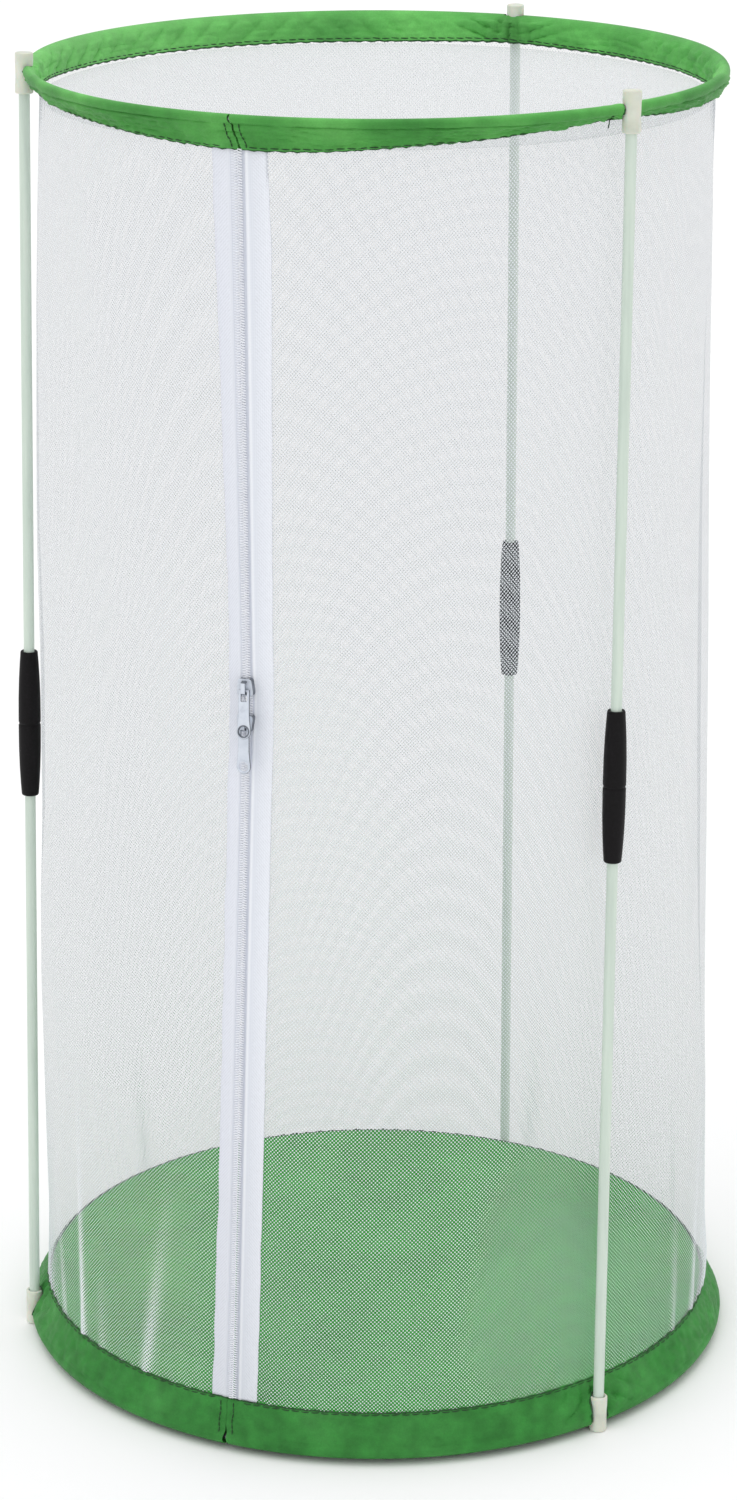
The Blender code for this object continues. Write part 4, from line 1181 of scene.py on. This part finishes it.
def makeConnectors(looks):
    # Plugs with a rounded closed end, a collared socket for the rod and a slot that snaps over the wire
    shape = connectorShape
    wide, reach, radius = shape["slotHalf"], shape["slotReach"], shape["slotRadius"]
    slot = [(x, -wide, z) for x, z in arcPoints((-rodOffset, 0), radius, -90.0, 90.0, 12)]
    slot += [(-reach, -wide, radius), (-reach, -wide, -radius)]
    for name in rodPlaces:
        axes, length = rodFrame(name)
        turned = axes @ Matrix.Translation((0, 0, length)) @ Matrix.Rotation(math.pi, 4, "X")
        for which, place, body in (("bottom", axes, "rod_" + name), ("top", turned, "top")):
            bm = spun(connectorProfile(which), shape["sides"], place)
            piece = addPiece(which + "Plug" + name.capitalize(), bm, looks["connector"], body, "connector",
                             (which + "_connector_" + name,), solid=True)
            cutWith(piece, [helperFrom(prism(slot, Vector((0, 2 * wide, 0)), place))])
            softenEdges(piece, shape["soft"])


# Sliders and pulls

def roundedOutline(corners, radius, steps):
    points = []
    for index, corner in enumerate(corners):
        here = Vector(corner)
        back = (Vector(corners[index - 1]) - here).normalized()
        on = (Vector(corners[(index + 1) % len(corners)]) - here).normalized()
        half = back.angle(on) / 2
        middle = here + (back + on).normalized() * (radius / math.sin(half))
        first = math.degrees(math.atan2(-back.x, back.y))
        points += arcPoints(middle, radius, first + 180.0, first + 360.0 - math.degrees(2 * half), steps)
    return points


def paintShadeOnWalls(piece, place, looks, inside):
    # Painted shade: the narrow walls and their edges take a dark grey that stands in for their shadow and dark
    # outline
    piece.data.materials.append(looks["shadowEnamel"])
    back = place.inverted()
    for face in piece.data.polygons:
        spot = back @ face.center
        if abs((back.to_3x3() @ face.normal).y) < 0.8 and inside(spot.x, spot.z):
            face.material_index = 1


def flatPrism(outline, low, high, place):
    return prism([(x, -low, z) for x, z in outline], Vector((0, low - high, 0)), place)


def archMesh(place):
    # The bridge that the pull hangs on
    shape = sliderShape
    archLong, archWide, archHigh = shape["arch"]
    reach, bar, corner, inner = archLong / 2, shape["archBar"], shape["archCorner"], shape["archInner"]
    foot, crown = shape["lift"] - shape["sink"], shape["lift"] + archHigh
    line = [(-reach, foot)] + arcPoints((-reach + corner, crown - corner), corner, 180.0, 90.0, 8)
    line += arcPoints((reach - corner, crown - corner), corner, 90.0, 0.0, 8) + [(reach, foot)]
    line += [(reach - bar, foot)]
    line += arcPoints((reach - bar - inner, crown - bar - inner), inner, 0.0, 90.0, 5)
    line += arcPoints((-reach + bar + inner, crown - bar - inner), inner, 90.0, 180.0, 5)
    line += [(-reach + bar, foot)]
    return prism([(-archWide / 2, -lift, z) for z, lift in line], Vector((archWide, 0, 0)), place)


def makeSlider(which, looks):
    shape = sliderShape
    half, frontHalf, tapeWay = shape["length"] / 2, shape["halfWidth"], shape["tapeWay"]
    waist = -half + shape["length"] * shape["waist"]
    rearHalf = frontHalf * shape["rear"]
    place = zipPlace(shape["heights"][which])
    if which == "lower":
        # Turned nose to nose: the outside stays outside
        place = place @ Matrix.Diagonal((1, 1, -1, 1))
    corners = [(-frontHalf, -half), (frontHalf, -half), (frontHalf, waist), (rearHalf, half), (-rearHalf, half),
               (-frontHalf, waist)]
    outline = roundedOutline(corners, shape["corner"], 6)
    top, plate = shape["lift"], shape["plate"]
    bm = flatPrism(outline, -tapeWay - plate, top, place)
    slider = addPiece(which + "SliderBody", bm, looks["enamel"], which + "_slider", "slider",
                      (which + "_slider",), solid=True)
    front, rear = frontHalf - shape["flange"], shape["rearChannel"]
    wide, long = frontHalf + shape["over"], half + shape["over"]
    channel = [(-front, -long), (front, -long), (front, waist), (rear, -waist * 0.3), (rear, long),
               (-rear, long), (-rear, -waist * 0.3), (-front, waist)]
    slot = [(-wide, -long), (wide, -long), (wide, long), (-wide, long)]
    cutWith(slider, [helperFrom(flatPrism(channel, -tapeWay, top - plate, place)),
                     helperFrom(flatPrism(slot, -tapeWay, tapeWay, place))])
    postHalf, postLength = shape["postWidth"] / 2, shape["postLength"]
    post = [(-postHalf, -half + 0.0003), (postHalf, -half + 0.0003), (postHalf, -half + postLength / 2),
            (0, -half + postLength), (-postHalf, -half + postLength / 2)]
    post = flatPrism(post, -plate, top - plate + shape["sink"], place)
    cutWith(slider, [helperFrom(post), helperFrom(archMesh(place))], "UNION")
    softenEdges(slider, shape["edge"], 3, 35.0)
    # Painted shade on all the slider's walls and edges
    paintShadeOnWalls(slider, place, looks, lambda x, z: True)


# length: from the pivot to the round end. drop: how far the pivot lies below the slider's middle. rim: radius
# beyond the hole, and height.
pullShape = {
    "length": 0.021, "neck": 0.0026, "neckEnd": 0.003, "end": 0.0033, "thickness": 0.0009, "bar": 0.0005,
    "hole": 0.0022, "drop": 0.0013, "lift": 0.00415, "tilt": {"upper": 12.5, "lower": 4.0},
    "swing": {"upper": 4.0, "lower": 3.0}, "slotHalf": 0.0013, "slotFoot": -0.0046, "edge": 0.00026,
    "rim": ((0.0, -0.0003), (0.0, 0.00012), (0.0002, 0.00024), (0.0005, 0.00024), (0.0007, -0.0001)),
}


def makePull(which, looks):
    # The tab: a straight neck with a slot for the arch, and a round end with a hole in a raised rim
    shape = pullShape
    end, bar, neck, hole, slotHalf = shape["end"], shape["bar"], shape["neck"], shape["hole"], shape["slotHalf"]
    centre, half = end - shape["length"], shape["thickness"] / 2
    tilt = Matrix.Rotation(-math.radians(shape["tilt"][which]), 4, "X")
    swing = Matrix.Rotation(-math.radians(shape["swing"][which]), 4, "Y")
    place = zipPlace(sliderShape["heights"][which])
    place = place @ Matrix.Translation((0, -shape["lift"], -shape["drop"])) @ swing @ tilt
    neckEnd = centre + end * 1.05 + shape["neckEnd"]
    outline = [(-neck, bar), (-neck, neckEnd)] + arcPoints((0, centre), end, 170.0, 370.0, 36)
    outline += [(neck, neckEnd), (neck, bar)]
    bm = prism([(x, -half, z) for x, z in outline], Vector((0, 2 * half, 0)), place)
    pull = addPiece(which + "PullTab", bm, looks["enamel"], which + "_pull", "slider", (which + "_pull",),
                    solid=True)
    slot = [(-slotHalf, shape["slotFoot"]), (slotHalf, shape["slotFoot"]), (slotHalf, -bar), (-slotHalf, -bar)]
    cutters = []
    for line in (arcPoints((0, centre), hole, 0.0, 360.0, 40)[:-1], slot):
        cutters.append(helperFrom(prism([(x, -half * 3, z) for x, z in line], Vector((0, 6 * half, 0)), place)))
    cutWith(pull, cutters)
    softenEdges(pull, shape["edge"], 3, 35.0)
    # Painted shade on the tab's walls and edges; the lower tab's hole is left as pale as the tab
    paintShadeOnWalls(pull, place, looks, lambda x, z: which == "upper" or math.hypot(x, z - centre) > hole + 0.0004)
    turned = place @ Matrix.Translation((0, -half, centre)) @ Matrix.Rotation(math.pi / 2, 4, "X")
    rim = spun([(hole + beyond, height) for beyond, height in shape["rim"]], 48, turned)
    # The upper tab's rim is painted shade; the lower tab's rim keeps the tab's colour
    rimLook = looks["shadowEnamel" if which == "upper" else "enamel"]
    addPiece(which + "PullRim", rim, rimLook, which + "_pull", "slider")


def dressHoops(looks):
    for name in ("top_hoop_wire", "top_hoop_crimp", "bottom_hoop_wire", "bottom_hoop_crimp"):
        node = bpy.data.objects[name]
        node.data.materials.clear()
        node.data.materials.append(looks["steel"])


# Camera, floor and light

# down and turn: degrees below the level and to the side. clearSteps: the view passes many holes of the net.
cameraLook = {
    "lens": 97.17, "sensor": 36.0, "place": (0.0, -1.8202, 0.8908), "down": 18.32, "turn": 0.11,
    "clip": (0.05, 60.0), "clearSteps": 32,
}
groundLook = {"base": 252, "spread": 1, "roughness": 0.9, "scale": 3.0, "size": 14.0}
worldStrength = 0.86
# Name, direction, strength and spread in degrees
suns = (("key", (-0.55, -0.55, 1.6), 0.42, 50.0), ("top", (0.10, 0.35, 1.8), 0.42, 40.0))


def makeCamera():
    look = cameraLook
    camera = bpy.data.cameras.new("camera")
    camera.sensor_width = look["sensor"]
    camera.sensor_fit = "AUTO"
    camera.lens = look["lens"]
    camera.clip_start, camera.clip_end = look["clip"]
    eye = placeObject("camera", camera)
    eye.location = look["place"]
    eye.rotation_euler = (math.radians(90 - look["down"]), 0.0, math.radians(look["turn"]))
    scene = bpy.context.scene
    scene.camera = eye
    scene.view_settings.view_transform = "Standard"
    scene.cycles.transparent_max_bounces = look["clearSteps"]


def makeStage():
    makeCamera()
    base, spread = groundLook["base"], groundLook["spread"]
    material, tree, shader = newMaterial("paleFloor", colour(base, base, base), groundLook["roughness"])
    soft = noiseAt(tree, objectPlace(tree), groundLook["scale"])
    dark, light = colour(*[base - spread] * 3), colour(*[base + spread] * 3)
    tree.links.new(rampOf(tree, soft, [(0.2, dark), (0.8, light)]), shader.inputs["Base Color"])
    bm = bmesh.new()
    bmesh.ops.create_grid(bm, x_segments=8, y_segments=8, size=groundLook["size"])
    ground = addPiece("ground", bm, material, None, None)
    world = bpy.data.worlds.new("studio")
    bpy.context.scene.world = world
    world.use_nodes = True
    background = world.node_tree.nodes["Background"]
    background.inputs[0].default_value = (1.0, 1.0, 1.0, 1.0)
    background.inputs[1].default_value = worldStrength
    for name, towards, strength, spread in suns:
        light = bpy.data.lights.new(name, "SUN")
        light.energy = strength
        light.angle = math.radians(spread)
        placeObject(name, light).rotation_euler = Vector(towards).to_track_quat("Z", "Y").to_euler()


def buildScene():
    looks = makeMaterials()
    makeStage()
    print("stage done")
    dressHoops(looks)
    makeRods(looks)
    makeConnectors(looks)
    print("rods done")
    for hand in (-1, 1):
        makeTape(hand, looks)
        makeCoil(hand, looks)
    for which in ("upper", "lower"):
        makeSlider(which, looks)
        makePull(which, looks)
    print("zip done")
    for which in ("top", "bottom"):
        makeSleeve(which, looks)
    print("sleeves done")
    makeDiscs(looks)
    makeNetWall(looks)
    print("net done")


buildScene()
